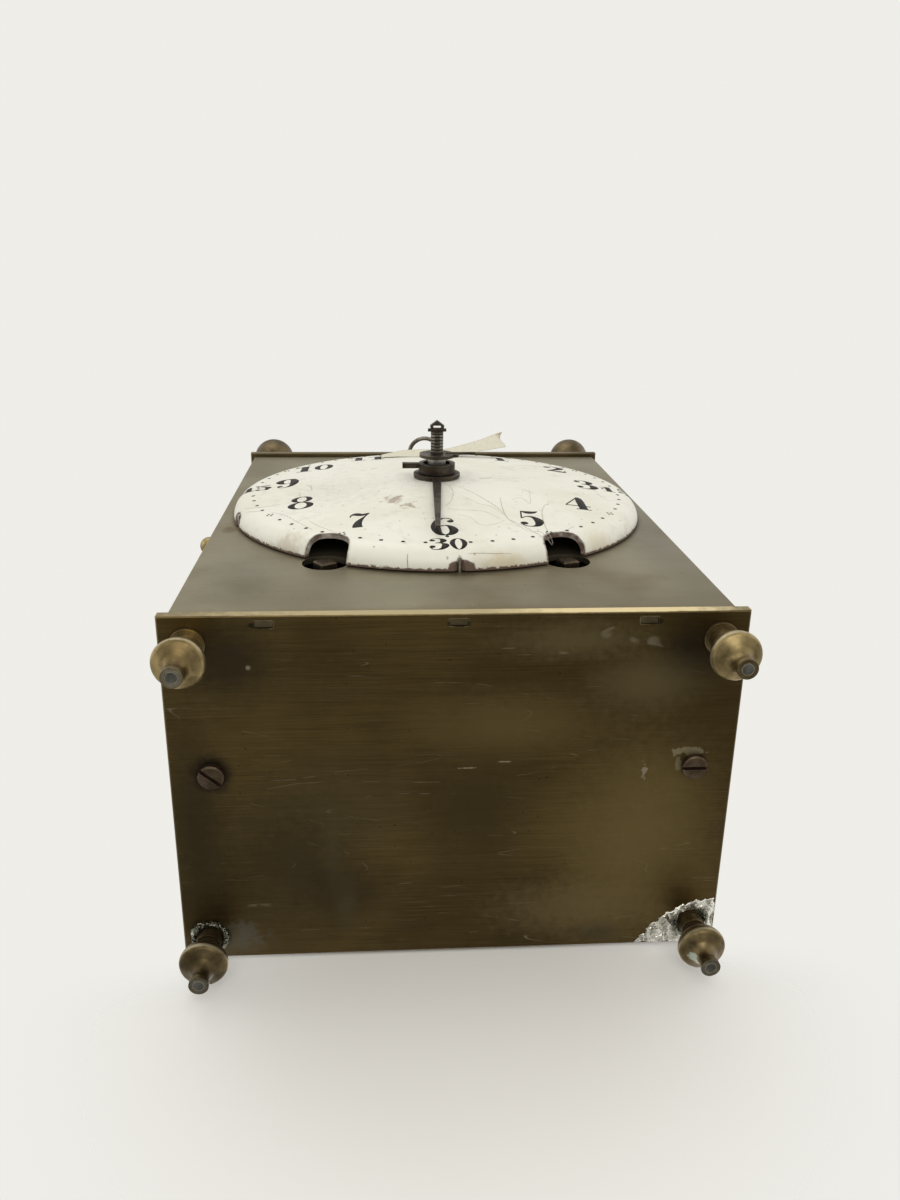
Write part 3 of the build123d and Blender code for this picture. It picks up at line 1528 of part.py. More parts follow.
# Movement plates, pillars and the pins that hold them together
lower_pillar_z = base_top + seat_block / 2
upper_pillar_x = frame_half_width - upper_pillar_inset
pillar_places = [(side * seat_screw_x, lower_pillar_z) for side in (-1, 1)]
pillar_places += [(side * upper_pillar_x, frame_top - upper_pillar_drop) for side in (-1, 1)]
pivot_places = [second_at, third_at, escape_at, pin_at, lock_at, fly_at, hammer_at]
frame_plates = {"movement_front_plate": frame_inner, "movement_back_plate": frame_end}
for frame_name, frame_plate_back in frame_plates.items():
    is_front = frame_name == "movement_front_plate"
    centre_hole = (arbor_front_radius if is_front else pivot_radius) + pivot_fit
    anchor_hole = pivot_radius + pivot_fit if is_front else 2 * anchor_arbor_radius
    barrel_hole = (barrel_arbor_radius if is_front else barrel_pivot_radius) + pivot_fit
    with BuildPart() as frame_plate:
        with BuildSketch(facing(frame_plate_back)):
            with Locations((0, frame_low)):
                Rectangle(2 * frame_half_width, frame_top - frame_low, align=(Align.CENTER, Align.MIN))
            with Locations(*pivot_places):
                Circle(pivot_radius + pivot_fit, mode=Mode.SUBTRACT)
            with Locations(centre_at):
                Circle(centre_hole, mode=Mode.SUBTRACT)
            with Locations(anchor_at):
                Circle(anchor_hole, mode=Mode.SUBTRACT)
            with Locations(*winding_places):
                Circle(barrel_hole, mode=Mode.SUBTRACT)
            with Locations(*pillar_places):
                Circle(frame_tenon_radius, mode=Mode.SUBTRACT)
        extrude(amount=frame_sheet)
        if is_front:
            with BuildSketch(facing(frame_front)):
                with Locations(minute_stud_at):
                    Circle(minute_stud_radius)
            extrude(amount=frame_front - minute_pinion_front + minute_stud_proud)
            with BuildSketch(facing(frame_front)):
                with Locations(*click_places.values()):
                    Circle(click_stud_radius)
            extrude(amount=click_stud_length)
    keep(frame_plate.part, frame_name)

frame_pin_ys = (frame_front - frame_tenon_proud / 2, frame_end + frame_tenon_proud / 2)
with BuildPart() as movement_pillars:
    with BuildSketch(facing(frame_back)):
        with Locations(*pillar_places):
            Circle(frame_pillar_radius)
    extrude(amount=frame_space)
    with BuildSketch(facing(frame_end + frame_tenon_proud)):
        with Locations(*pillar_places):
            Circle(frame_tenon_radius)
    extrude(amount=frame_end - frame_front + 2 * frame_tenon_proud)
    with BuildSketch(facing(seat_screw_y + seat_block_length / 2)):
        with Locations(*pillar_places[:2]):
            Rectangle(seat_block, seat_block)
    extrude(amount=seat_block_length)
    with BuildSketch(Plane.XY.offset(base_top)):
        with Locations(*seat_places):
            Circle(seat_shank_radius)
    extrude(amount=seat_thread_length, mode=Mode.SUBTRACT)
    for pin_y in frame_pin_ys:
        with BuildSketch(Plane.XY.offset(base_top)):
            with Locations(*[(x, pin_y) for x, _ in pillar_places]):
                Circle(frame_pin_radius)
        extrude(amount=clear_height, mode=Mode.SUBTRACT)
keep(movement_pillars.part, "movement_pillars")

with BuildPart() as pillar_pins:
    for pillar_x, pillar_z in pillar_places:
        with BuildSketch(Plane.XY.offset(pillar_z - frame_pin_length / 2)):
            with Locations(*[(pillar_x, pin_y) for pin_y in frame_pin_ys]):
                Circle(frame_pin_radius)
        extrude(amount=frame_pin_length)
keep(pillar_pins.part, "pillar_pins")
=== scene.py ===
import math

import bpy
import numpy as np
from mathutils import Matrix, Vector


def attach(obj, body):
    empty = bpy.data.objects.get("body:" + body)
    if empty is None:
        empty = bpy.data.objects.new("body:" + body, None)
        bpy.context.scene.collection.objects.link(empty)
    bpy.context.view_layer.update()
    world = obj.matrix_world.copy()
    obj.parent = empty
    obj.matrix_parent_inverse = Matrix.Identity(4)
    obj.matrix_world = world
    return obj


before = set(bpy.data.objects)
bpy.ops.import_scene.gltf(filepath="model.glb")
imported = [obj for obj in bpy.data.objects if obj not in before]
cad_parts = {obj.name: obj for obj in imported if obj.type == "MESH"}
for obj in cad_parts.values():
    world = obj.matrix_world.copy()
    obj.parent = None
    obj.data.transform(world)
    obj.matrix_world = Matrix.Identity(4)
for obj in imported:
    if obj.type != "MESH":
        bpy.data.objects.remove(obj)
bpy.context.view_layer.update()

mm = 0.001
dialHeight = 113.0      # dial centre above the floor, in mm
print("clock frame loaded,", len(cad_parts), "nodes")

def feed(tree, node, inputs):
    # an input takes another node's socket or a plain value
    for key, value in inputs.items():
        if isinstance(value, bpy.types.NodeSocket):
            tree.links.new(value, node.inputs[key])
        else:
            node.inputs[key].default_value = value


def put(tree, kind, inputs={}, **settings):
    node = tree.nodes.new("ShaderNode" + kind)
    for key, value in settings.items():
        setattr(node, key, value)
    feed(tree, node, inputs)
    return node


def calc(tree, sign, *values, clamp=False):
    return put(tree, "Math", dict(enumerate(values)), operation=sign, use_clamp=clamp).outputs[0]


def times(tree, *values, clamp=False):
    return calc(tree, "MULTIPLY", *values, clamp=clamp)


def swing(tree, value, reach):
    # how far a noise value lies from its middle, times the reach
    return times(tree, calc(tree, "SUBTRACT", value, 0.5), reach)


def vecCalc(tree, sign, *values):
    node = put(tree, "VectorMath", dict(enumerate(values)), operation=sign)
    return node.outputs["Value" if sign in ("LENGTH", "DOT_PRODUCT", "DISTANCE") else "Vector"]


def blendColour(tree, share, under, over, mode="MIX"):
    node = put(tree, "Mix", {0: share, 6: under, 7: over}, data_type="RGBA", blend_type=mode)
    return node.outputs[2]


def ramp(tree, value, low, high, outLow=0.0, outHigh=1.0):
    # smooth step from outLow to outHigh while the value goes from low to high
    node = put(tree, "MapRange", {0: value, 1: low, 2: high, 3: outLow, 4: outHigh},
               interpolation_type="SMOOTHSTEP", clamp=True)
    return node.outputs[0]


def contour(tree, value, reach):
    # 1 on the line where a noise value is at its middle, down to 0 at the reach on either side
    return ramp(tree, calc(tree, "ABSOLUTE", calc(tree, "SUBTRACT", value, 0.5)), 0.0, reach, 1.0, 0.0)


def axis(tree, vector, index):
    return put(tree, "SeparateXYZ", {0: vector}).outputs[index]


def channel(tree, colour, index):
    return put(tree, "SeparateColor", {0: colour}).outputs[index]


def scaled(tree, vector, factor):
    return put(tree, "VectorMath", {0: vector, "Scale": factor}, operation="SCALE").outputs[0]


def ellipse(tree, place, centre, reach):
    # distance from the centre, as a share of the reach along each axis
    return vecCalc(tree, "LENGTH", vecCalc(tree, "DIVIDE", vecCalc(tree, "SUBTRACT", place, centre), reach))


def noise(tree, place, scale=1.0, detail=3.0, rough=0.55, warp=0.0):
    return put(tree, "TexNoise", {"Vector": place, "Scale": scale, "Detail": detail, "Roughness": rough,
                                  "Distortion": warp}).outputs["Fac"]


def newGroup(name, takes, gives):
    tree = bpy.data.node_groups.new(name, "ShaderNodeTree")
    for way, sockets in (("INPUT", takes), ("OUTPUT", gives)):
        for label, kind in sockets.items():
            tree.interface.new_socket(label, in_out=way, socket_type="NodeSocket" + kind)
    return tree, tree.nodes.new("NodeGroupInput").outputs, tree.nodes.new("NodeGroupOutput")


def fillGroup(tree, group, inputs):
    return put(tree, "Group", inputs, node_tree=group).outputs


def emptyTree(owner):
    owner.use_nodes = True
    owner.node_tree.nodes.clear()
    return owner.node_tree


def newObject(name, data):
    thing = bpy.data.objects.new(name, data)
    bpy.context.scene.collection.objects.link(thing)
    return thing


def rgba(colour):
    return (*colour, 1.0)


viewer = {
    "place": (-0.01706, -0.12479, -0.19074),
    "right": (0.9976955, -0.013439, -0.0665062),
    "down": (-0.0100622, 0.9400443, -0.3409038),
    "ahead": (0.0671002, 0.3407874, 0.9377428),
    "lens": 30.04,
}


def buildCamera(facts):
    data = bpy.data.cameras.new("clockCamera")
    data.lens, data.sensor_width = facts["lens"], 36.0
    data.clip_start, data.clip_end = 0.005, 20.0
    camera = newObject("clockCamera", data)
    right, down, ahead = (Vector(facts[key]).normalized() for key in ("right", "down", "ahead"))
    turn = Matrix((right, -down, -ahead)).transposed().to_4x4()
    camera.matrix_world = Matrix.Translation(facts["place"]) @ turn
    bpy.context.scene.camera = camera


buildCamera(viewer)

lamps = {
    "ceiling": {"place": (-0.25, -0.95, 0.55), "size": 0.8, "power": 2.0},
    "window": {"place": (-1.0, -0.35, 0.25), "size": 0.7, "power": 1.3},
    "rightFill": {"place": (0.95, -0.45, 0.35), "size": 1.1, "power": 1.5},
    "backFill": {"place": (0.2, 0.95, 0.75), "size": 0.8, "power": 3.0},
    "lowFront": {"place": (0.0, -0.7, -0.65), "size": 0.6, "power": 3.0},
}
lampColour = (1.0, 0.98, 0.94)
clockMiddle = Vector((0, 0, 0.1))
for lampName, lamp in lamps.items():
    data = bpy.data.lights.new(lampName, "AREA")
    data.energy, data.size, data.color = lamp["power"], lamp["size"], lampColour
    turn = (clockMiddle - Vector(lamp["place"])).to_track_quat("-Z", "Y").to_matrix().to_4x4()
    newObject(lampName, data).matrix_world = Matrix.Translation(lamp["place"]) @ turn
print("camera and lamps placed")


def buildRubbedMetal():
    # patches = cloudy noise; grain = noise stretched along the rubbing; scratches = contour lines of noise
    tree, takes, gives = newGroup("rubbedMetal", {
        "Place": "Vector", "Grain": "Vector", "Pale": "Color", "Deep": "Color", "Stain": "Color",
        "PatchSize": "Float", "StainShare": "Float", "GrainDepth": "Float", "Scratches": "Float",
        "Dull": "Float"}, {"Color": "Color", "Roughness": "Float", "Height": "Float"})
    place = takes["Place"]
    patchPlace = scaled(tree, place, calc(tree, "DIVIDE", 1.0, takes["PatchSize"]))
    patches = ramp(tree, noise(tree, patchPlace, 1.0, 3.0, 0.5), 0.3, 0.7)
    clouds = noise(tree, vecCalc(tree, "ADD", patchPlace, (7.3, 2.1, 4.4)), 1.9, 3.0, 0.55)
    stained = times(tree, ramp(tree, clouds, 0.48, 0.8), takes["StainShare"])
    grainPlace = vecCalc(tree, "MULTIPLY", place, takes["Grain"])
    grain = noise(tree, grainPlace, 1.0, 4.0, 0.72)
    fineGrain = noise(tree, vecCalc(tree, "ADD", grainPlace, (31.0, 17.0, 9.0)), 3.3, 2.0, 0.6)
    broken = times(tree, ramp(tree, noise(tree, place, 0.05, 2.0, 0.5), 0.5, 0.72), 0.6)
    lines = times(tree, contour(tree, noise(tree, grainPlace, 0.37, 1.0, 0.5), 0.009), broken)
    slant = vecCalc(tree, "ADD", scaled(tree, takes["Grain"], 0.03), (0.02, 0.02, 0.02))
    stray = noise(tree, vecCalc(tree, "MULTIPLY", place, slant), 1.0, 0.0, 0.5, 0.5)
    strayMask = times(tree, contour(tree, stray, 0.0045),
                      ramp(tree, noise(tree, place, 0.21, 1.0, 0.5), 0.52, 0.62))
    scratch = times(tree, calc(tree, "MAXIMUM", lines, strayMask), takes["Scratches"])
    cells = put(tree, "TexVoronoi", {"Vector": place, "Scale": 0.55})
    rare = calc(tree, "GREATER_THAN", channel(tree, cells.outputs["Color"], 0), 0.88)
    speck = times(tree, ramp(tree, cells.outputs["Distance"], 0.06, 0.2, 1.0, 0.0), rare)
    colour = blendColour(tree, patches, takes["Pale"], takes["Deep"])
    colour = blendColour(tree, stained, colour, takes["Stain"])
    shade = calc(tree, "ADD", 1.0, swing(tree, grain, takes["GrainDepth"]))
    shade = calc(tree, "ADD", shade, swing(tree, fineGrain, takes["GrainDepth"]))
    shade = calc(tree, "SUBTRACT", shade, times(tree, speck, 0.45))
    grey = put(tree, "CombineColor", {0: shade, 1: shade, 2: shade}).outputs[0]
    colour = blendColour(tree, 1.0, colour, grey, "MULTIPLY")
    bright = blendColour(tree, 0.3, takes["Pale"], (0.95, 0.88, 0.72, 1))
    colour = blendColour(tree, times(tree, scratch, 0.6, clamp=True), colour, bright)
    rough = calc(tree, "ADD", takes["Dull"], times(tree, patches, 0.12))
    rough = calc(tree, "ADD", rough, times(tree, stained, 0.2))
    rough = calc(tree, "ADD", rough, swing(tree, grain, 0.3), clamp=True)
    height = calc(tree, "ADD", times(tree, grain, 0.5), times(tree, fineGrain, 0.25))
    height = calc(tree, "SUBTRACT", height, times(tree, scratch, 0.4))
    height = calc(tree, "SUBTRACT", height, times(tree, speck, 0.5))
    feed(tree, gives, {"Color": colour, "Roughness": rough, "Height": height})
    return tree


def buildWornEdge():
    # how far the rounded normal turns from the true one, broken up by noise
    tree, takes, gives = newGroup("wornEdge", {"Place": "Vector", "Reach": "Float"}, {"Mask": "Float"})
    rounded = put(tree, "Bevel", {"Radius": takes["Reach"]}, samples=6).outputs[0]
    straight = put(tree, "NewGeometry").outputs["Normal"]
    turn = calc(tree, "SUBTRACT", 1.0, vecCalc(tree, "DOT_PRODUCT", rounded, straight))
    patchy = calc(tree, "ADD", 0.35, noise(tree, takes["Place"], 0.8, 3.0, 0.6))
    feed(tree, gives, {"Mask": times(tree, ramp(tree, turn, 0.02, 0.22), patchy, clamp=True)})
    return tree


def buildCrevice():
    # dark where nearby surfaces shut out the light, broken up by noise
    tree, takes, gives = newGroup("crevice", {"Place": "Vector", "Reach": "Float"}, {"Mask": "Float"})
    openness = put(tree, "AmbientOcclusion", {"Distance": takes["Reach"]}, samples=6).outputs["AO"]
    patchy = calc(tree, "ADD", 0.5, noise(tree, takes["Place"], 0.7, 3.0, 0.6))
    feed(tree, gives, {"Mask": times(tree, ramp(tree, openness, 0.25, 0.95, 1.0, 0.0), patchy, clamp=True)})
    return tree


def buildSoftSpot():
    # a ragged patch: 1 inside an ellipsoid about Centre, falling to 0 at its border
    tree, takes, gives = newGroup("softSpot", {
        "Place": "Vector", "Centre": "Vector", "Reach": "Vector", "Ragged": "Float", "Edge": "Float"},
        {"Mask": "Float"})
    away = ellipse(tree, takes["Place"], takes["Centre"], takes["Reach"])
    wobble = swing(tree, noise(tree, takes["Place"], 0.45, 5.0, 0.65), takes["Ragged"])
    away = calc(tree, "ADD", away, times(tree, wobble, 3.0))
    inner = calc(tree, "SUBTRACT", 1.0, takes["Edge"])
    feed(tree, gives, {"Mask": ramp(tree, away, inner, 1.0, 1.0, 0.0)})
    return tree


rubbedMetal = buildRubbedMetal()
wornEdge = buildWornEdge()
crevice = buildCrevice()
softSpot = buildSoftSpot()
print("shared effects built")


def startMaterial(name):
    # place is the position in mm
    material = bpy.data.materials.new(name)
    tree = emptyTree(material)
    surface = put(tree, "BsdfPrincipled")
    put(tree, "OutputMaterial", {"Surface": surface.outputs[0]})
    return material, tree, surface, scaled(tree, put(tree, "TexCoord").outputs["Object"], 1 / mm)


def addBump(tree, surface, height, depth, strength=0.6):
    bump = put(tree, "Bump", {"Height": height, "Distance": depth, "Strength": strength})
    tree.links.new(bump.outputs[0], surface.inputs["Normal"])


def spot(centre, reach, colour, share, ragged=0.14, edge=0.95):
    # a softSpot with its colour, in mm; share says how much of what lies beneath it covers
    return dict(centre=centre, reach=reach, colour=colour, share=share, ragged=ragged, edge=edge)


def spotMask(tree, place, mark):
    return fillGroup(tree, softSpot, {"Place": place, "Centre": mark["centre"], "Reach": mark["reach"],
                                      "Ragged": mark["ragged"], "Edge": mark["edge"]})["Mask"]


def metalFinish(name, pale, deep, stain, grain, patchSize, dull, edge, stainShare=0.4, grainDepth=0.5,
                scratches=0.3, edgeReach=0.0005, edgeShare=0.7, bump=0.00006, dirtAndShade=0.7, dirtAndShadeReach=0.002,
                spots=(), grooves=None):
    material, tree, surface, place = startMaterial(name)
    skin = fillGroup(tree, rubbedMetal, {
        "Place": place, "Grain": grain, "Pale": rgba(pale), "Deep": rgba(deep), "Stain": rgba(stain),
        "PatchSize": patchSize, "StainShare": stainShare, "GrainDepth": grainDepth, "Scratches": scratches,
        "Dull": dull})
    worn = fillGroup(tree, wornEdge, {"Place": place, "Reach": edgeReach})["Mask"]
    colour, rough = skin["Color"], skin["Roughness"]
    colour = blendColour(tree, times(tree, worn, edgeShare), colour, rgba(edge))
    for mark in spots:
        share = times(tree, spotMask(tree, place, mark), mark["share"])
        colour = blendColour(tree, share, colour, rgba(mark["colour"]))
        rough = calc(tree, "ADD", rough, times(tree, share, 0.15), clamp=True)
    if grooves:
        # turned grooves: bands across y between two depths, with painted shade darkening the hollow half of
        # each wave
        depth = axis(tree, place, 1)
        wave = calc(tree, "SINE", times(tree, depth, 2 * math.pi / grooves["pitch"]))
        within = times(tree, calc(tree, "GREATER_THAN", depth, grooves["from"]),
                       calc(tree, "LESS_THAN", depth, grooves["to"]))
        hollowShade = times(tree, ramp(tree, wave, -0.1, 0.45), within)
        colour = blendColour(tree, times(tree, within, 0.45), colour, rgba(edge))
        colour = blendColour(tree, times(tree, hollowShade, 0.92), colour, rgba([0.3 * part for part in deep]))
    # grime and painted shade: the stain colour, darkened, is laid where nearby surfaces shut out the light
    grimeAndShadeMask = fillGroup(tree, crevice, {"Place": place, "Reach": dirtAndShadeReach})["Mask"]
    colour = blendColour(tree, times(tree, grimeAndShadeMask, dirtAndShade), colour, rgba([0.45 * part for part in stain]))
    rough = calc(tree, "ADD", rough, times(tree, grimeAndShadeMask, 0.25), clamp=True)
    feed(tree, surface, {"Base Color": colour, "Roughness": rough, "Metallic": 1.0})
    addBump(tree, surface, skin["Height"], bump)
    return material


# dark and pale patches: (centre), (reach), (colour), share, then how ragged and how soft the border is
frontSpots = [
    spot((0, -44, 20), (90, 9, 9), (0.144, 0.101, 0.043), 0.6),
    spot((-52, -44, 50), (20, 9, 36), (0.162, 0.154, 0.118), 0.5),
    spot((60, -44, 90), (14, 9, 70), (0.174, 0.168, 0.138), 0.5),
    spot((-14, -44, 42), (34, 9, 7), (0.24, 0.234, 0.18), 0.45),
    spot((-61, -44, 92), (3.0, 9, 5), (0.132, 0.084, 0.042), 0.6, edge=0.7),
]
baseSpots = [
    spot((-30, 4, 18), (28, 20, 9), (0.088, 0.07, 0.038), 0.5),
    # tone and painted sheen: lighter golden patches (this and the next line)
    spot((46, 14, 18), (28, 42, 9), (0.235, 0.172, 0.068), 0.75),
    spot((12, -18, 18), (34, 13, 9), (0.2, 0.145, 0.058), 0.6),
    spot((4, 4, 18), (22, 24, 9), (0.064, 0.046, 0.02), 0.75),
    spot((-28, 27, 18), (17, 14, 9), (0.062, 0.043, 0.02), 0.75),
    spot((-30, 16, 18), (3.2, 15, 9), (0.17, 0.15, 0.095), 0.22, ragged=0.3),
    spot((-27, 30, 18), (4.5, 12, 9), (0.17, 0.15, 0.095), 0.22, ragged=0.3),
    # painted shade: darker corners by the front feet and a darker strip along the left edge (this and the
    # next two lines)
    spot((-52, -35, 18), (17, 16, 9), (0.048, 0.036, 0.02), 0.9),
    spot((54, -36, 18), (12, 13, 9), (0.036, 0.025, 0.014), 1.0),
    spot((-62, 8, 18), (11, 44, 9), (0.052, 0.04, 0.02), 0.85),
    spot((-56, 41, 18), (14, 7, 9), (0.194, 0.163, 0.111), 0.7, ragged=0.4),
    spot((-47.4, -33.2, 18), (0.7, 0.7, 3), (0.296, 0.259, 0.185), 0.9, 0.1, 0.4),
    spot((56.4, -9.6, 18), (4.0, 1.3, 2), (0.4, 0.35, 0.22), 0.6, 1.2, 0.3),
    spot((53.4, -6.6, 18), (0.8, 2.2, 2), (0.36, 0.31, 0.2), 0.5, 1.2, 0.3),
    spot((-57.3, -6.2, 18), (6.5, 6.5, 9), (0.031, 0.022, 0.017), 0.9, edge=0.6),
    spot((45.4, -4.6, 18), (0.7, 2.0, 1), (0.42, 0.36, 0.26), 0.7, 1.5, 0.2),
    spot((36, 41.5, 18), (9, 4.5, 9), (0.07, 0.056, 0.036), 0.7, ragged=0.4),
    # tone and painted sheen: lighter golden patches (this and the next line)
    spot((26, -39, 18), (26, 7, 9), (0.195, 0.155, 0.075), 0.6, ragged=0.3),
    spot((44, -28, 18), (20, 11, 9), (0.195, 0.155, 0.078), 0.55),
    spot((-42, 20, 18), (26, 32, 9), (0.05, 0.039, 0.021), 0.65),
    # tone and painted sheen: a lighter golden patch
    spot((30, 34, 18), (30, 12, 9), (0.215, 0.16, 0.074), 0.6, ragged=0.3),
    spot((2.5, -6.5, 18), (2.2, 0.2, 1), (0.5, 0.43, 0.28), 0.6, 1.2, 0.3),
    spot((12, -8, 18), (1.8, 0.2, 1), (0.5, 0.43, 0.28), 0.6, 1.2, 0.3),
    spot((-52, 38.5, 18), (6, 5, 2), (0.16, 0.15, 0.12), 0.5, ragged=1.0),
    # worn edge and painted highlight: bright lines along the front edge of the plate (this and the next line)
    spot((0, -46.1, 19.5), (110, 0.62, 6), (0.5, 0.42, 0.24), 0.9, 0.1, 0.3),
    spot((38, -46.1, 19.5), (44, 0.62, 6), (0.8, 0.68, 0.42), 0.9, 0.1, 0.3),
]
# the three tenons that hold the front plate: painted shade of the open slots, dark on the plate above each
# and round it in the base
for tenonX in (-44.0, 0.0, 44.0):
    frontSpots.append(spot((tenonX, -43.3, 15.5), (7, 4, 3.4), (0.062, 0.045, 0.02), 0.95, 0.05, 0.3))
    baseSpots.append(spot((tenonX, -43.4, 18), (3.0, 1.15, 2), (0.02, 0.014, 0.008), 0.8, 0.3, 0.25))

footSpots = [
    # painted shade: the back-left foot and the front-right foot darkened (this and the next line)
    spot((-60.5, 39, 8), (9, 9, 14), (0.036, 0.026, 0.012), 0.9),
    spot((60.5, -39, 8), (9, 9, 14), (0.095, 0.068, 0.03), 0.8),
    # painted highlight: a bright band round every foot at the height of its widest bulge
    spot((0, 0, 7.4), (400, 400, 0.55), (0.5, 0.44, 0.3), 0.55, 0.5, 0.6),
]
for footX in (-60.5, 60.5):
    for footY in (-39.0, 39.0):
        footSpots.append(spot((footX, footY, 0), (2.6, 2.6, 0.8), (0.62, 0.56, 0.42), 0.85, 0.1, 0.3))
footSpots.append(spot((57.3, 39.5, 4.5), (1.7, 1.7, 1.5), (0.42, 0.46, 0.38), 0.9, 0.6, 0.3))

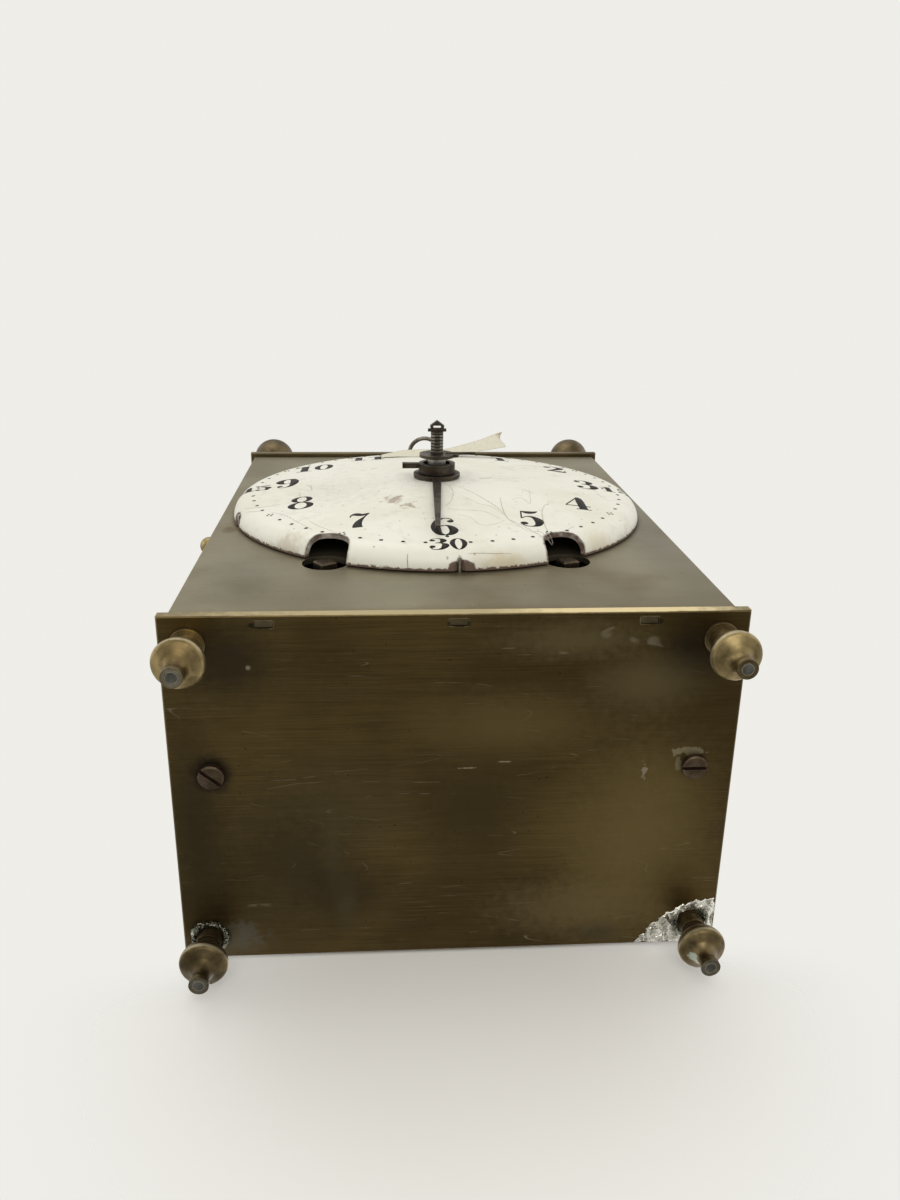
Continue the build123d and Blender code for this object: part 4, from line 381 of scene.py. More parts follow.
metals = {
    # tarnish and painted shade: the base plate's brass is kept very dark, standing for tarnish and the dim
    # reflection of its underside
    "tarnishAndShadeBaseBrass": dict(pale=(0.145, 0.101, 0.037), deep=(0.08, 0.054, 0.019), stain=(0.052, 0.035, 0.014),
        grain=(0.036, 3.8, 3.8), patchSize=42, dull=0.34, edge=(0.5, 0.41, 0.23), grainDepth=1.0,
        scratches=0.8, edgeReach=0.0006, edgeShare=0.9, bump=0.00005, spots=baseSpots),
    # painted shade: a darkened brass for the top plate
    "shadedTopBrass": dict(pale=(0.18, 0.14, 0.07), deep=(0.1, 0.076, 0.036), stain=(0.06, 0.043, 0.022),
        grain=(0.05, 2.6, 2.6), patchSize=34, dull=0.38, edge=(0.26, 0.21, 0.12), grainDepth=0.35,
        scratches=0.5, bump=0.00005),
    "frontBrass": dict(pale=(0.266, 0.238, 0.162), deep=(0.194, 0.17, 0.112), stain=(0.15, 0.112, 0.058),
        grain=(0.035, 2.2, 2.2), patchSize=46, dull=0.42, edge=(0.45, 0.38, 0.24), stainShare=0.45,
        grainDepth=0.3, bump=0.00004, spots=frontSpots),
    "sheetBrass": dict(pale=(0.2, 0.162, 0.085), deep=(0.122, 0.096, 0.046), stain=(0.07, 0.052, 0.027),
        grain=(2.4, 2.4, 0.045), patchSize=38, dull=0.38, edge=(0.45, 0.38, 0.22), grainDepth=0.35,
        scratches=0.5, bump=0.00005),
    "turnedBrass": dict(pale=(0.4, 0.31, 0.145), deep=(0.165, 0.118, 0.052), stain=(0.055, 0.038, 0.02),
        grain=(0.16, 0.16, 4.0), patchSize=7, dull=0.3, edge=(0.66, 0.57, 0.36), stainShare=0.75,
        grainDepth=0.4, bump=0.00007, dirtAndShade=0.6, dirtAndShadeReach=0.0012, spots=footSpots[:5]),
    # painted shade: a darker copy of the turned brass, for the finials and corner pillars
    "shadedFinialBrass": dict(pale=(0.155, 0.118, 0.064), deep=(0.085, 0.062, 0.032), stain=(0.045, 0.032, 0.018),
        grain=(0.16, 0.16, 4.0), patchSize=7, dull=0.34, edge=(0.36, 0.29, 0.17), stainShare=0.7,
        grainDepth=0.4, bump=0.00007),
    # painted shade: a darker copy of the turned brass, for the back feet
    "shadedBackFootBrass": dict(pale=(0.22, 0.168, 0.082), deep=(0.095, 0.068, 0.032), stain=(0.04, 0.028, 0.015),
        grain=(0.16, 0.16, 4.0), patchSize=6, dull=0.32, edge=(0.52, 0.44, 0.28), stainShare=0.75,
        grainDepth=0.4, bump=0.00007, dirtAndShadeReach=0.0015, spots=footSpots),
    "wheelBrass": dict(pale=(0.72, 0.58, 0.3), deep=(0.5, 0.38, 0.17), stain=(0.22, 0.15, 0.07),
        grain=(1.4, 1.4, 1.4), patchSize=9, dull=0.26, edge=(0.9, 0.78, 0.5), stainShare=0.3,
        grainDepth=0.25, edgeReach=0.0003, bump=0.00004),
    "plateBrass": dict(pale=(0.66, 0.53, 0.28), deep=(0.44, 0.34, 0.16), stain=(0.18, 0.13, 0.07),
        grain=(3.0, 3.0, 0.07), patchSize=18, dull=0.3, edge=(0.88, 0.76, 0.5), stainShare=0.35,
        grainDepth=0.3, scratches=0.5, edgeReach=0.0004, bump=0.00005),
    "darkSteel": dict(pale=(0.095, 0.08, 0.062), deep=(0.04, 0.032, 0.024), stain=(0.085, 0.052, 0.03),
        grain=(1.1, 1.1, 1.1), patchSize=4, dull=0.42, edge=(0.4, 0.38, 0.33), scratches=0.4,
        edgeReach=0.0003, edgeShare=0.55),
    "grooveSteel": dict(pale=(0.12, 0.105, 0.085), deep=(0.055, 0.046, 0.036), stain=(0.085, 0.052, 0.03),
        grain=(1.1, 1.1, 1.1), patchSize=4, dull=0.42, edge=(0.4, 0.38, 0.33), scratches=0.4,
        edgeReach=0.0003, edgeShare=0.55, grooves={"from": -68.6, "to": -63.0, "pitch": 0.94}),
    "forgedIron": dict(pale=(0.26, 0.245, 0.215), deep=(0.13, 0.115, 0.095), stain=(0.2, 0.11, 0.055),
        grain=(0.9, 0.9, 0.9), patchSize=3.5, dull=0.45, edge=(0.5, 0.48, 0.44), stainShare=0.5,
        scratches=0.2, edgeReach=0.0003, bump=0.0001),
    "screwIron": dict(pale=(0.15, 0.11, 0.07), deep=(0.07, 0.048, 0.03), stain=(0.1, 0.055, 0.03),
        grain=(0.7, 0.7, 0.7), patchSize=3, dull=0.4, edge=(0.34, 0.29, 0.21), stainShare=0.5,
        edgeReach=0.0002, edgeShare=0.5, bump=0.0001, dirtAndShade=0.9, dirtAndShadeReach=0.0015),
    "squareIron": dict(pale=(0.135, 0.105, 0.07), deep=(0.065, 0.048, 0.032), stain=(0.09, 0.05, 0.028),
        grain=(0.9, 0.9, 0.9), patchSize=2.5, dull=0.38, edge=(0.3, 0.255, 0.18), stainShare=0.5,
        edgeReach=0.00025, edgeShare=0.6, bump=0.00008, dirtAndShade=0.9, dirtAndShadeReach=0.003),
    "rodIron": dict(pale=(0.22, 0.22, 0.2), deep=(0.12, 0.118, 0.1), stain=(0.09, 0.07, 0.045),
        grain=(1.2, 1.2, 0.1), patchSize=3, dull=0.42, edge=(0.8, 0.74, 0.58), edgeShare=1.0, bump=0.00008,
        dirtAndShade=0.3),
    "arborSteel": dict(pale=(0.55, 0.54, 0.51), deep=(0.36, 0.345, 0.32), stain=(0.2, 0.13, 0.08),
        grain=(0.2, 4.0, 0.2), patchSize=7, dull=0.24, edge=(0.75, 0.74, 0.7), stainShare=0.3,
        grainDepth=0.25, edgeReach=0.0002, bump=0.00003),
    "blueSteel": dict(pale=(0.16, 0.19, 0.27), deep=(0.08, 0.09, 0.14), stain=(0.2, 0.14, 0.09),
        grain=(0.2, 3.0, 0.2), patchSize=5, dull=0.24, edge=(0.6, 0.6, 0.6), stainShare=0.35,
        grainDepth=0.25, edgeReach=0.0003, bump=0.00003),
    "bellMetal": dict(pale=(0.62, 0.49, 0.27), deep=(0.4, 0.3, 0.15), stain=(0.2, 0.15, 0.09),
        grain=(0.05, 0.05, 3.5), patchSize=20, dull=0.25, edge=(0.85, 0.72, 0.45), grainDepth=0.3,
        scratches=0.35, edgeReach=0.0006),
}

finishes = {name: metalFinish(name, **facts) for name, facts in metals.items()}

dome = {"apex": -55.0, "shoulder": 56.2, "curve": 0.0014248, "knuckle": 5.8, "rim": -44.7}


def dialEnamel(facts):
    # white glaze, greyed by handling, with hairline cracks, small pits, and brown copper where it is chipped
    material, tree, surface, place = startMaterial("dialEnamel")
    centred = vecCalc(tree, "SUBTRACT", place, (0, 0, dialHeight))
    flat = vecCalc(tree, "MULTIPLY", centred, (1, 0, 1))
    cloud = noise(tree, place, 0.05, 5.0, 0.6)
    colour = blendColour(tree, ramp(tree, cloud, 0.4, 0.7), rgba(facts["white"]), rgba(facts["cream"]))
    scuff = times(tree, ramp(tree, noise(tree, place, 0.16, 8.0, 0.72), 0.52, 0.72), 0.48)
    colour = blendColour(tree, scuff, colour, rgba(facts["scuff"]))
    for mark in facts["smudges"]:
        share = times(tree, spotMask(tree, place, mark), mark["share"])
        colour = blendColour(tree, share, colour, rgba(mark["colour"]))
    strayMask = times(tree, contour(tree, noise(tree, flat, 0.035, 2.0, 0.6, 0.8), 0.0016),
                      ramp(tree, noise(tree, flat, 0.12, 2.0, 0.5), 0.5, 0.62))
    colour = blendColour(tree, times(tree, strayMask, 0.4), colour, rgba(facts["crackColour"]))
    face = put(tree, "CombineXYZ", {0: axis(tree, centred, 0), 1: axis(tree, centred, 2)}).outputs[0]
    cells = put(tree, "TexVoronoi", {"Vector": face, "Scale": 0.2}, voronoi_dimensions="2D")
    rare = calc(tree, "GREATER_THAN", channel(tree, cells.outputs["Color"], 1), 0.72)
    pits = times(tree, ramp(tree, cells.outputs["Distance"], 0.03, 0.07, 1.0, 0.0), rare)
    colour = blendColour(tree, times(tree, pits, 0.65), colour, rgba(facts["pitColour"]))
    gritty = noise(tree, place, 1.1, 4.0, 0.7)
    bare = ramp(tree, calc(tree, "ADD", axis(tree, place, 1), swing(tree, gritty, 2.4)),
                dome["rim"] - 0.75, dome["rim"] - 0.45)
    for mark in facts["chips"]:
        bare = calc(tree, "MAXIMUM", bare, spotMask(tree, place, mark))
    copper = blendColour(tree, gritty, rgba(facts["copperDark"]), rgba(facts["copperPale"]))
    colour = blendColour(tree, bare, colour, copper)
    rough = calc(tree, "ADD", facts["rough"], times(tree, scuff, 0.5))
    rough = calc(tree, "ADD", rough, times(tree, bare, 0.4), clamp=True)
    feed(tree, surface, {"Base Color": colour, "Roughness": rough, "Coat Weight": 0.12,
                         "Coat Roughness": 0.2})
    sunken = calc(tree, "ADD", bare, times(tree, pits, 0.5))
    ripple = times(tree, noise(tree, place, 0.12, 2.0, 0.5), 0.6)
    addBump(tree, surface, calc(tree, "SUBTRACT", ripple, sunken), 0.00035, 0.5)
    return material


enamelFacts = {
    "white": (0.775, 0.765, 0.67), "cream": (0.72, 0.705, 0.59), "scuff": (0.56, 0.545, 0.47),
    "crackColour": (0.26, 0.23, 0.18), "pitColour": (0.22, 0.19, 0.14), "rough": 0.4,
    "copperDark": (0.045, 0.028, 0.02), "copperPale": (0.2, 0.13, 0.09),
    "smudges": [
        spot((-30, -52, dialHeight - 12), (22, 9, 20), (0.5, 0.47, 0.38), 0.28, 0.9, 0.8),
        spot((0, -54, dialHeight), (17, 9, 16), (0.5, 0.485, 0.42), 0.5, 0.35, 0.8),
        spot((-13.6, -54, dialHeight - 23.8), (3.4, 9, 3.4), (0.26, 0.17, 0.1), 0.75, 1.6, 0.8),
        spot((-9.6, -54, dialHeight - 29.8), (3.0, 9, 2.6), (0.28, 0.18, 0.11), 0.7, 1.6, 0.8),
        spot((15, -46, dialHeight - 60.4), (12, 6, 3.4), (0.6, 0.52, 0.34), 0.75, 0.3, 0.8),
        spot((42.3, -46, dialHeight - 45), (9, 6, 6), (0.62, 0.55, 0.38), 0.6, 0.35, 0.8),
        spot((-43, -46, dialHeight - 45), (10, 6, 5), (0.42, 0.33, 0.23), 0.5, 0.5, 0.8),
    ],
    "chips": [
        spot((3.4, -45.4, dialHeight - 62.6), (4.3, 3.0, 2.2), None, 1.0, 0.14, 0.12),
        spot((-59.6, -46, dialHeight - 18.2), (2.6, 3.4, 4.2), None, 1.0, 0.16, 0.12),
        spot((-32, -45, dialHeight - 53), (7.0, 80, 7.0), None, 1.0, 0.05, 0.12),
        spot((32, -45, dialHeight - 53), (7.1, 80, 7.1), None, 1.0, 0.07, 0.12),
    ],
}
finishes["dialEnamel"] = dialEnamel(enamelFacts)

nodeFinish = {
    "base_plate": "tarnishAndShadeBaseBrass", "top_plate": "shadedTopBrass", "front_plate": "frontBrass",
    "back_plate": "sheetBrass", "door_left": "sheetBrass", "door_right": "sheetBrass",
    "dial": "dialEnamel", "bell": "bellMetal", "pendulum_bob": "bellMetal",
    "going_click": "blueSteel", "strike_click": "blueSteel",
}
# the finish of every other node whose name starts with one of these; the rest are arbors
for group, finish in (
        (("foot_back",), "shadedBackFootBrass"), (("foot_front", "knob_"), "turnedBrass"),
        (("finial_", "corner_pillars"), "shadedFinialBrass"),
        (("movement_front", "movement_back", "movement_pillars", "back_cock"), "plateBrass"),
        (("centre_wheel", "second_wheel", "third_wheel", "escape_wheel", "going_barrel", "strike_barrel",
          "pin_wheel", "locking_wheel", "hour_wheel", "minute_wheel"), "wheelBrass"),
        (("hour_hand", "minute_hand", "hand_"), "darkSteel"), (("centre_arbor",), "grooveSteel"),
        (("seat_screws",), "screwIron"), (("tie_rods",), "rodIron"),
        (("going_winding_arbor", "strike_winding_arbor"), "squareIron"),
        (("hanging_loop", "loop_eyes", "pillar_pins", "hammer", "fly"), "forgedIron")):
    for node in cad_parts:
        if node.startswith(group) and node not in nodeFinish:
            nodeFinish[node] = finish
for node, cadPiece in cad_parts.items():
    cadPiece.data.materials.clear()
    cadPiece.data.materials.append(finishes[nodeFinish.get(node, "arborSteel")])
print("finishes on every node")


def surfaceFrom(name, grid, closed=True):
    # a grid of points, rows by columns by xyz in mm, made into one skin of four-sided faces;
    # closed joins the last row and column to the first
    rows, columns = grid.shape[:2]
    index = np.arange(rows * columns).reshape(rows, columns)
    if closed:
        index = np.pad(index, ((0, 1), (0, 1)), "wrap")
    faces = np.stack([index[:-1, :-1], index[1:, :-1], index[1:, 1:], index[:-1, 1:]], axis=-1)
    return meshPiece(name, grid.reshape(-1, 3), faces.reshape(-1, 4))


def meshPiece(name, points, faces):
    mesh = bpy.data.meshes.new(name)
    mesh.from_pydata((np.asarray(points) * mm).tolist(), [], np.asarray(faces).tolist())
    mesh.polygons.foreach_set("use_smooth", np.full(len(mesh.polygons), True))
    mesh.update()
    return newObject(name, mesh)


def outwardPiece(name, points, faces):
    # turns over each face whose normal, the cross product of its diagonals, points into the clock
    a, b, c, d = (points[faces[:, k]] for k in range(4))
    inward = np.cross(c - a, d - b)[:, 1] > 0
    faces = np.where(inward[:, None], faces[:, ::-1], faces)
    return meshPiece(name, points, faces)


def smoothLine(points, count):
    # Catmull-Rom curve through the points, sampled count times for each span
    p = np.asarray(points, float)
    p = np.vstack([2 * p[0] - p[1], p, 2 * p[-1] - p[-2]])
    t = np.linspace(0, 1, count, endpoint=False)[:, None]
    spans = [0.5 * (2 * b + (c - a) * t + (2 * a - 5 * b + 4 * c - d) * t**2 + (3 * b - a - 3 * c + d) * t**3)
             for a, b, c, d in zip(p[:-3], p[1:-2], p[2:-1], p[3:])]
    return np.vstack(spans + [p[-2][None]])


def thicken(piece, depth, offset=-1.0):
    solid = piece.modifiers.new("wall", "SOLIDIFY")
    solid.thickness, solid.offset = depth * mm, offset


def ontoDial(x, z, proud):
    # flat (x, z) about the dial centre is laid on the dome: distance from the centre is arc length along it,
    # first over the shallow dome, where depth grows with its square, then round the rim's quarter circle
    arc = np.hypot(x, z)
    safeArc = np.maximum(arc, 1e-9)
    onDome = arc <= dome["shoulder"]
    turn = np.clip((arc - dome["shoulder"]) / dome["knuckle"], 0, math.pi / 2)
    radius = np.where(onDome, arc, dome["shoulder"] + dome["knuckle"] * np.sin(turn))
    depth = np.where(onDome, dome["apex"] + dome["curve"] * arc**2,
                     dome["rim"] - dome["knuckle"] * np.cos(turn))
    shrink = np.where(arc > 1e-9, radius / safeArc, 1.0)
    return np.stack([x * shrink + proud * (np.sin(turn) * x / safeArc), depth - proud * np.cos(turn),
                     z * shrink + proud * (np.sin(turn) * z / safeArc) + dialHeight], axis=-1)


numerals = {
    "hourRing": 45.6, "hourHeight": 11.6, "hourWide": 1.06,
    "minuteRing": 56.4, "minuteHeight": 5.9, "minuteWide": 1.55,
    "hourGap": 0.54, "minuteGap": 0.58, "bold": 1.18, "proud": 0.03, "thickness": 0.05,
    "dotRing": 56.0, "quarterDotRing": 52.2, "dotRadius": 0.52, "dotTall": 1.05, "clusterDot": 0.62,
    "clusterReach": 0.78,
    "hourNudge": {1: (0, 2.6), 2: (-2.0, 2.8), 3: (-2.8, 1.4), 4: (-1.7, -0.3), 5: (-1.6, -0.4),
                  6: (0.4, 0.2), 7: (0.6, 0), 8: (3.4, -0.6), 9: (6.0, 1.2), 10: (5.0, 2.6), 11: (3.0, 2.6),
                  12: (0, 1.5)},
    "minuteNudge": {45: 3.0}, "smaller": {7: 0.87}, "dotsInward": {25: 0.9, 35: 0.9},
    "ink": (0.018, 0.016, 0.014), "wornInk": (0.3, 0.28, 0.24),
}
# each stroke is a row of (across, up, pen width), as shares of the height; a ball is (across, up, radius)
digitStrokes = {
    "1": [[(-.24, .8, .03), (-.12, .86, .06), (.0, .98, .04)],
          [(.03, 0, .17), (.03, .5, .165), (.03, .99, .17)],
          [(-.17, .015, .035), (.03, .02, .045), (.23, .015, .035)]],
    "2": [[(-.24, .7, .03), (-.21, .88, .03), (-.02, .98, .035), (.16, .88, .13), (.19, .7, .17),
           (.07, .47, .13), (-.12, .22, .06), (-.25, .03, .03)],
          [(-.26, .03, .03), (-.12, .13, .11), (.08, .07, .15), (.21, .08, .09), (.27, .27, .025)]],
    "3": [[(-.23, .8, .03), (-.15, .94, .03), (0, .985, .035), (.13, .9, .12), (.16, .76, .16),
           (.09, .6, .09), (-.08, .535, .03)],
          [(-.08, .535, .03), (.08, .52, .05), (.19, .4, .15), (.2, .24, .18), (.11, .07, .1),
           (-.03, .015, .035), (-.17, .05, .03), (-.24, .2, .03)]],
    "4": [[(.09, .99, .05), (.1, .8, .15), (.1, .3, .17), (.1, 0, .17)],
          [(.08, .99, .03), (-.1, .64, .03), (-.29, .28, .03)],
          [(-.3, .27, .035), (0, .27, .035), (.3, .27, .035)],
          [(-.08, .015, .035), (.1, .02, .04), (.28, .015, .035)]],
    "5": [[(-.16, .97, .02), (-.02, .9, .14), (.12, .92, .11), (.23, 1.0, .02)],
          [(-.15, .98, .03), (-.17, .75, .03), (-.19, .5, .03)],
          [(-.19, .5, .03), (-.06, .62, .035), (.09, .58, .1), (.19, .36, .18), (.14, .12, .12),
           (0, .015, .035), (-.15, .04, .03), (-.24, .18, .03)]],
    "6": [[(.21, .8, .03), (.14, .95, .03), (.0, .985, .035), (-.13, .86, .1), (-.19, .6, .17),
           (-.19, .35, .18), (-.13, .1, .12), (0, .015, .035)],
          [(0, .015, .035), (.13, .1, .12), (.19, .28, .17), (.13, .47, .12), (.02, .56, .035),
           (-.12, .5, .03)]],
    "7": [[(-.24, .72, .02), (-.2, .88, .05), (-.08, .93, .16), (.08, .88, .12), (.25, .99, .03)],
          [(.25, .99, .03), (.12, .7, .05), (0, .4, .14), (-.04, .15, .2), (-.03, 0, .22)]],
}
digitRings = {
    "0": [(0, .5, .25, .5, .1, .465)],
    "8": [(0, .755, .25, .235, .115, .205), (0, .265, .3, .27, .14, .235)],
}
digitBalls = {"2": [(-.165, .72, .085)], "3": [(-.155, .79, .08), (-.165, .2, .085)],
              "5": [(-.16, .19, .085)], "6": [(.14, .8, .07)]}


def sideways(line):
    # unit vectors square to the direction of travel
    travel = np.gradient(line, axis=0)
    return np.stack([-travel[:, 1], travel[:, 0]], axis=1) / np.linalg.norm(travel, axis=1)[:, None]


def onRing(radius, degrees):
    # clockwise from the top: (radius times sine, radius times cosine)
    return radius * np.array([math.sin(math.radians(degrees)), math.cos(math.radians(degrees))])


def strokeStrip(points):
    # a pen line: each centre point is pushed half its width to either side of the direction of travel
    line = smoothLine(points, 6)
    side = sideways(line[:, :2])
    half = 0.5 * numerals["bold"] * line[:, 2:3]
    return np.stack([line[:, :2] + side * half, line[:, :2] - side * half], axis=1)


def ringStrip(x, y, outX, outY, inX, inY):
    # the band between two ellipses about one centre
    turn = np.linspace(0, 2 * math.pi, 37)
    outer = np.stack([x + outX * np.cos(turn), y + outY * np.sin(turn)], axis=1)
    inner = np.stack([x + inX * np.cos(turn), y + inY * np.sin(turn)], axis=1)
    return np.stack([inner, outer], axis=1)


def digitStrips(digit):
    # a nine is a six turned half round
    if digit == "9":
        return [-strip + np.array([0.0, 1.0]) for strip in digitStrips("6")]
    strips = [strokeStrip(stroke) for stroke in digitStrokes.get(digit, [])]
    strips += [ringStrip(*ring) for ring in digitRings.get(digit, [])]
    strips += [ringStrip(x, y, r, r, 0.002, 0.002) for x, y, r in digitBalls.get(digit, [])]
    return strips


def paintedMarks(facts):
    # digits stand upright about points on two rings; dots stand on two more; all is then laid on the dome
    strips = []

    def write(text, ring, angle, height, wide, gap):
        for place, digit in enumerate(text):
            shift = np.array([(place - (len(text) - 1) / 2) * gap * wide, -0.5])
            for strip in digitStrips(digit):
                strips.append((strip * [wide, 1.0] + shift) * height + onRing(ring, angle))

    def dot(middle, wide, tall):
        strips.append(ringStrip(*middle, wide, tall, 0.01, 0.01)[::3])

    for hour in range(1, 13):
        turned, further = facts["hourNudge"][hour]
        write(str(hour), facts["hourRing"] + further, 30 * hour + turned,
              facts["hourHeight"] * facts["smaller"].get(hour, 1.0), facts["hourWide"], facts["hourGap"])
    for minute in (15, 30, 45, 60):
        turned = facts["minuteNudge"].get(minute, 0.0)
        write(str(minute), facts["minuteRing"], 6 * minute + turned, facts["minuteHeight"],
              facts["minuteWide"], facts["minuteGap"])
        dot(onRing(facts["quarterDotRing"], 6 * minute), facts["dotRadius"], facts["dotRadius"])
    for minute in range(60):
        if minute % 15 == 0:
            continue
        outward = onRing(1.0, 6 * minute)
        across = np.array([outward[1], -outward[0]])
        small = facts["dotRadius"] * (facts["clusterDot"] if minute % 5 == 0 else 1.0)
        offsets = [outward, -outward, across, -across] if minute % 5 == 0 else [outward * 0]
        for offset in offsets:
            middle = (facts["dotRing"] - facts["dotsInward"].get(minute, 0.0)) * outward
            dot(middle + offset * facts["clusterReach"], small * facts["dotTall"], small)
    points, faces, start = [], [], 0
    for strip in strips:
        # a stroke that reaches the rounded rim is cut lengthwise, so that it bends with the enamel
        columns = 5 if np.hypot(strip[..., 0], strip[..., 1]).max() > dome["shoulder"] - 1 else 1
        share = np.linspace(0, 1, columns + 1)[None, :, None]
        strip = strip[:, :1] * (1 - share) + strip[:, 1:] * share
        points.append(ontoDial(strip[..., 0].ravel(), strip[..., 1].ravel(), facts["proud"]))
        index = start + np.arange(strip[..., 0].size).reshape(strip.shape[:2])
        faces.append(np.stack([index[:-1, :-1], index[:-1, 1:], index[1:, 1:], index[1:, :-1]],
                              axis=-1).reshape(-1, 4))
        start += index.size
    piece = outwardPiece("painted_numerals", np.vstack(points), np.vstack(faces))
    thicken(piece, facts["thickness"])
    return piece


# each line is its width, then its points (x, z) about the dial centre, in mm
crackLines = [
    (0.15, (6.0, -11.4), (9.7, -18.2), (13.2, -25.6), (15.8, -32.0), (17.4, -39.1)),
    (0.1, (5.9, -20.8), (10.1, -27.8), (13.9, -30.5), (16.5, -36.5)),
    (0.12, (1.2, -32.9), (6.3, -33.9), (11.4, -34.7), (15.3, -39.8)),
    (0.1, (3.7, -37.3), (7.1, -39.3), (9.4, -44.3), (12.9, -44.1), (16.4, -40.8)),
    (0.15, (17.3, -21.7), (16.9, -30.7), (17.4, -39.1), (19.3, -43.0)),
    (0.19, (17.3, -39.6), (20.7, -43.8), (24.0, -48.6), (26.4, -51.9), (27.7, -53.9)),
    (0.14, (19.2, -43.5), (22.5, -47.9), (25.3, -47.5), (27.1, -52.3)),
    (0.19, (29.7, -26.2), (28.0, -32.4), (27.3, -39.2), (27.3, -45.2), (27.9, -53.6)),
    (0.12, (31.5, -24.2), (29.6, -26.6)),
    (0.16, (24.9, -12.2), (26.8, -14.1), (28.5, -15.9)),
    (0.11, (20.5, -23.3), (23.7, -21.3), (25.6, -25.6), (27.3, -10.8)),
    (0.14, (5.0, -60.6), (8.0, -60.2), (11.5, -60.0), (16.5, -59.2)),
    (0.38, (13.2, -1.2), (15.3, -0.5), (17.4, 0.7)),
    (0.16, (-15.7, -21.9), (-13.8, -21.7), (-13.0, -25.8), (-11.4, -26.0)),
    (0.16, (-11.9, -29.7), (-9.8, -28.1), (-8.3, -31.6), (-7.8, -30.1)),
    (0.18, (-40.1, -0.6), (-38.4, -4.2), (-38.0, -8.7), (-39.4, -8.3)),
    (0.17, (-56.8, -17.7), (-54.4, -19.2), (-51.4, -19.8), (-48.9, -19.6), (-46.4, -19.3)),
    (0.14, (-56.1, -20.7), (-53.1, -23.1), (-51.0, -23.2)),
    (0.12, (-48.3, -25.7), (-44.3, -29.7), (-40.6, -35.5), (-35.4, -43.7)),
    (0.2, (-10.7, -60.1), (-10.9, -61.8), (-11.0, -63.6)),
    (0.1, (-29.1, -46.6), (-33.6, -41.7), (-37.0, -36.6)),
    (0.1, (48.3, -0.5), (49.5, -11.9), (51.9, -15.2)),
    (0.14, (-41.6, -10.3), (-40.9, -14.5)),
    (0.12, (28.7, -47.8), (31.7, -46.3), (35.7, -41.5)),
    (0.12, (1.9, -7.9), (3.9, -15.8), (2.9, -25.5), (0.9, -30.5)),
    (0.34, (-20.4, 15.2), (-18.0, 16.6)),
    (0.1, (22.0, 18.0), (31.0, 27.0), (44.0, 31.0)),
]


crackFacts = {"waver": 0.11, "proud": 0.02, "thickness": 0.03, "rough": 0.6,
              "pale": (0.46, 0.43, 0.36), "dark": (0.2, 0.165, 0.12)}


def buildCracks(lines, facts):
    # each crack is a pen line with a small waver, widest in its middle by a sine, laid on the dome
    points, faces, start = [], [], 0
    for number, (width, *route) in enumerate(lines):
        path = smoothLine(route, 12)
        run = np.arange(len(path))
        waver = np.stack([np.sin(1.9 * run + number), np.cos(2.3 * run + 2 * number)], axis=1)
        path = path + facts["waver"] * waver
        side = sideways(path)
        taper = 0.5 * width * (0.45 + 0.55 * np.sin(np.linspace(0.1, math.pi - 0.1, len(path))))[:, None]
        strip = np.stack([path - side * taper, path + side * taper], axis=1)
        points.append(ontoDial(strip[..., 0].ravel(), strip[..., 1].ravel(), facts["proud"]))
        row = start + 2 * np.arange(len(path) - 1)
        faces.append(np.stack([row, row + 1, row + 3, row + 2], axis=1))
        start += 2 * len(path)
    piece = outwardPiece("enamel_cracks", np.vstack(points), np.vstack(faces))
    thicken(piece, facts["thickness"])
    material, tree, surface, place = startMaterial("crackDirt")
    stain = noise(tree, place, 0.7, 5.0, 0.7)
    colour = blendColour(tree, ramp(tree, stain, 0.35, 0.65), rgba(facts["pale"]), rgba(facts["dark"]))
    feed(tree, surface, {"Base Color": colour, "Roughness": facts["rough"]})
    addBump(tree, surface, stain, 0.00003, 0.4)
    piece.data.materials.append(material)
    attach(piece, "case")


def paintFinish(facts):
    material, tree, surface, place = startMaterial("numeralPaint")
    worn = ramp(tree, noise(tree, place, 0.9, 6.0, 0.7), 0.6, 0.74)
    colour = blendColour(tree, times(tree, worn, 0.5), rgba(facts["ink"]), rgba(facts["wornInk"]))
    rough = calc(tree, "ADD", 0.55, times(tree, worn, 0.2))
    feed(tree, surface, {"Base Color": colour, "Roughness": rough, "Specular IOR Level": 0.1})
    addBump(tree, surface, noise(tree, place, 2.0, 3.0, 0.6), 0.00003, 0.4)
    return material


buildCracks(crackLines, crackFacts)
numeralPiece = paintedMarks(numerals)
numeralPiece.data.materials.append(paintFinish(numerals))
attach(numeralPiece, "case")
print("numerals painted")

paperStrip = {
    "left": -17.0, "length": 44.0, "low": 41.0, "width": 11.0, "liftFrom": 0.42, "lowLift": 4.2,
    "highLift": 9.0, "topLift": 1.6, "proud": 0.12, "thickness": 0.11,
    "paper": (0.68, 0.655, 0.53), "worn": (0.6, 0.57, 0.44),
    "tip": spot((26.2, -60.6, 164.0), (3.4, 4.6, 7.0), (0.36, 0.28, 0.16), 0.85, 0.25, 0.5),
}


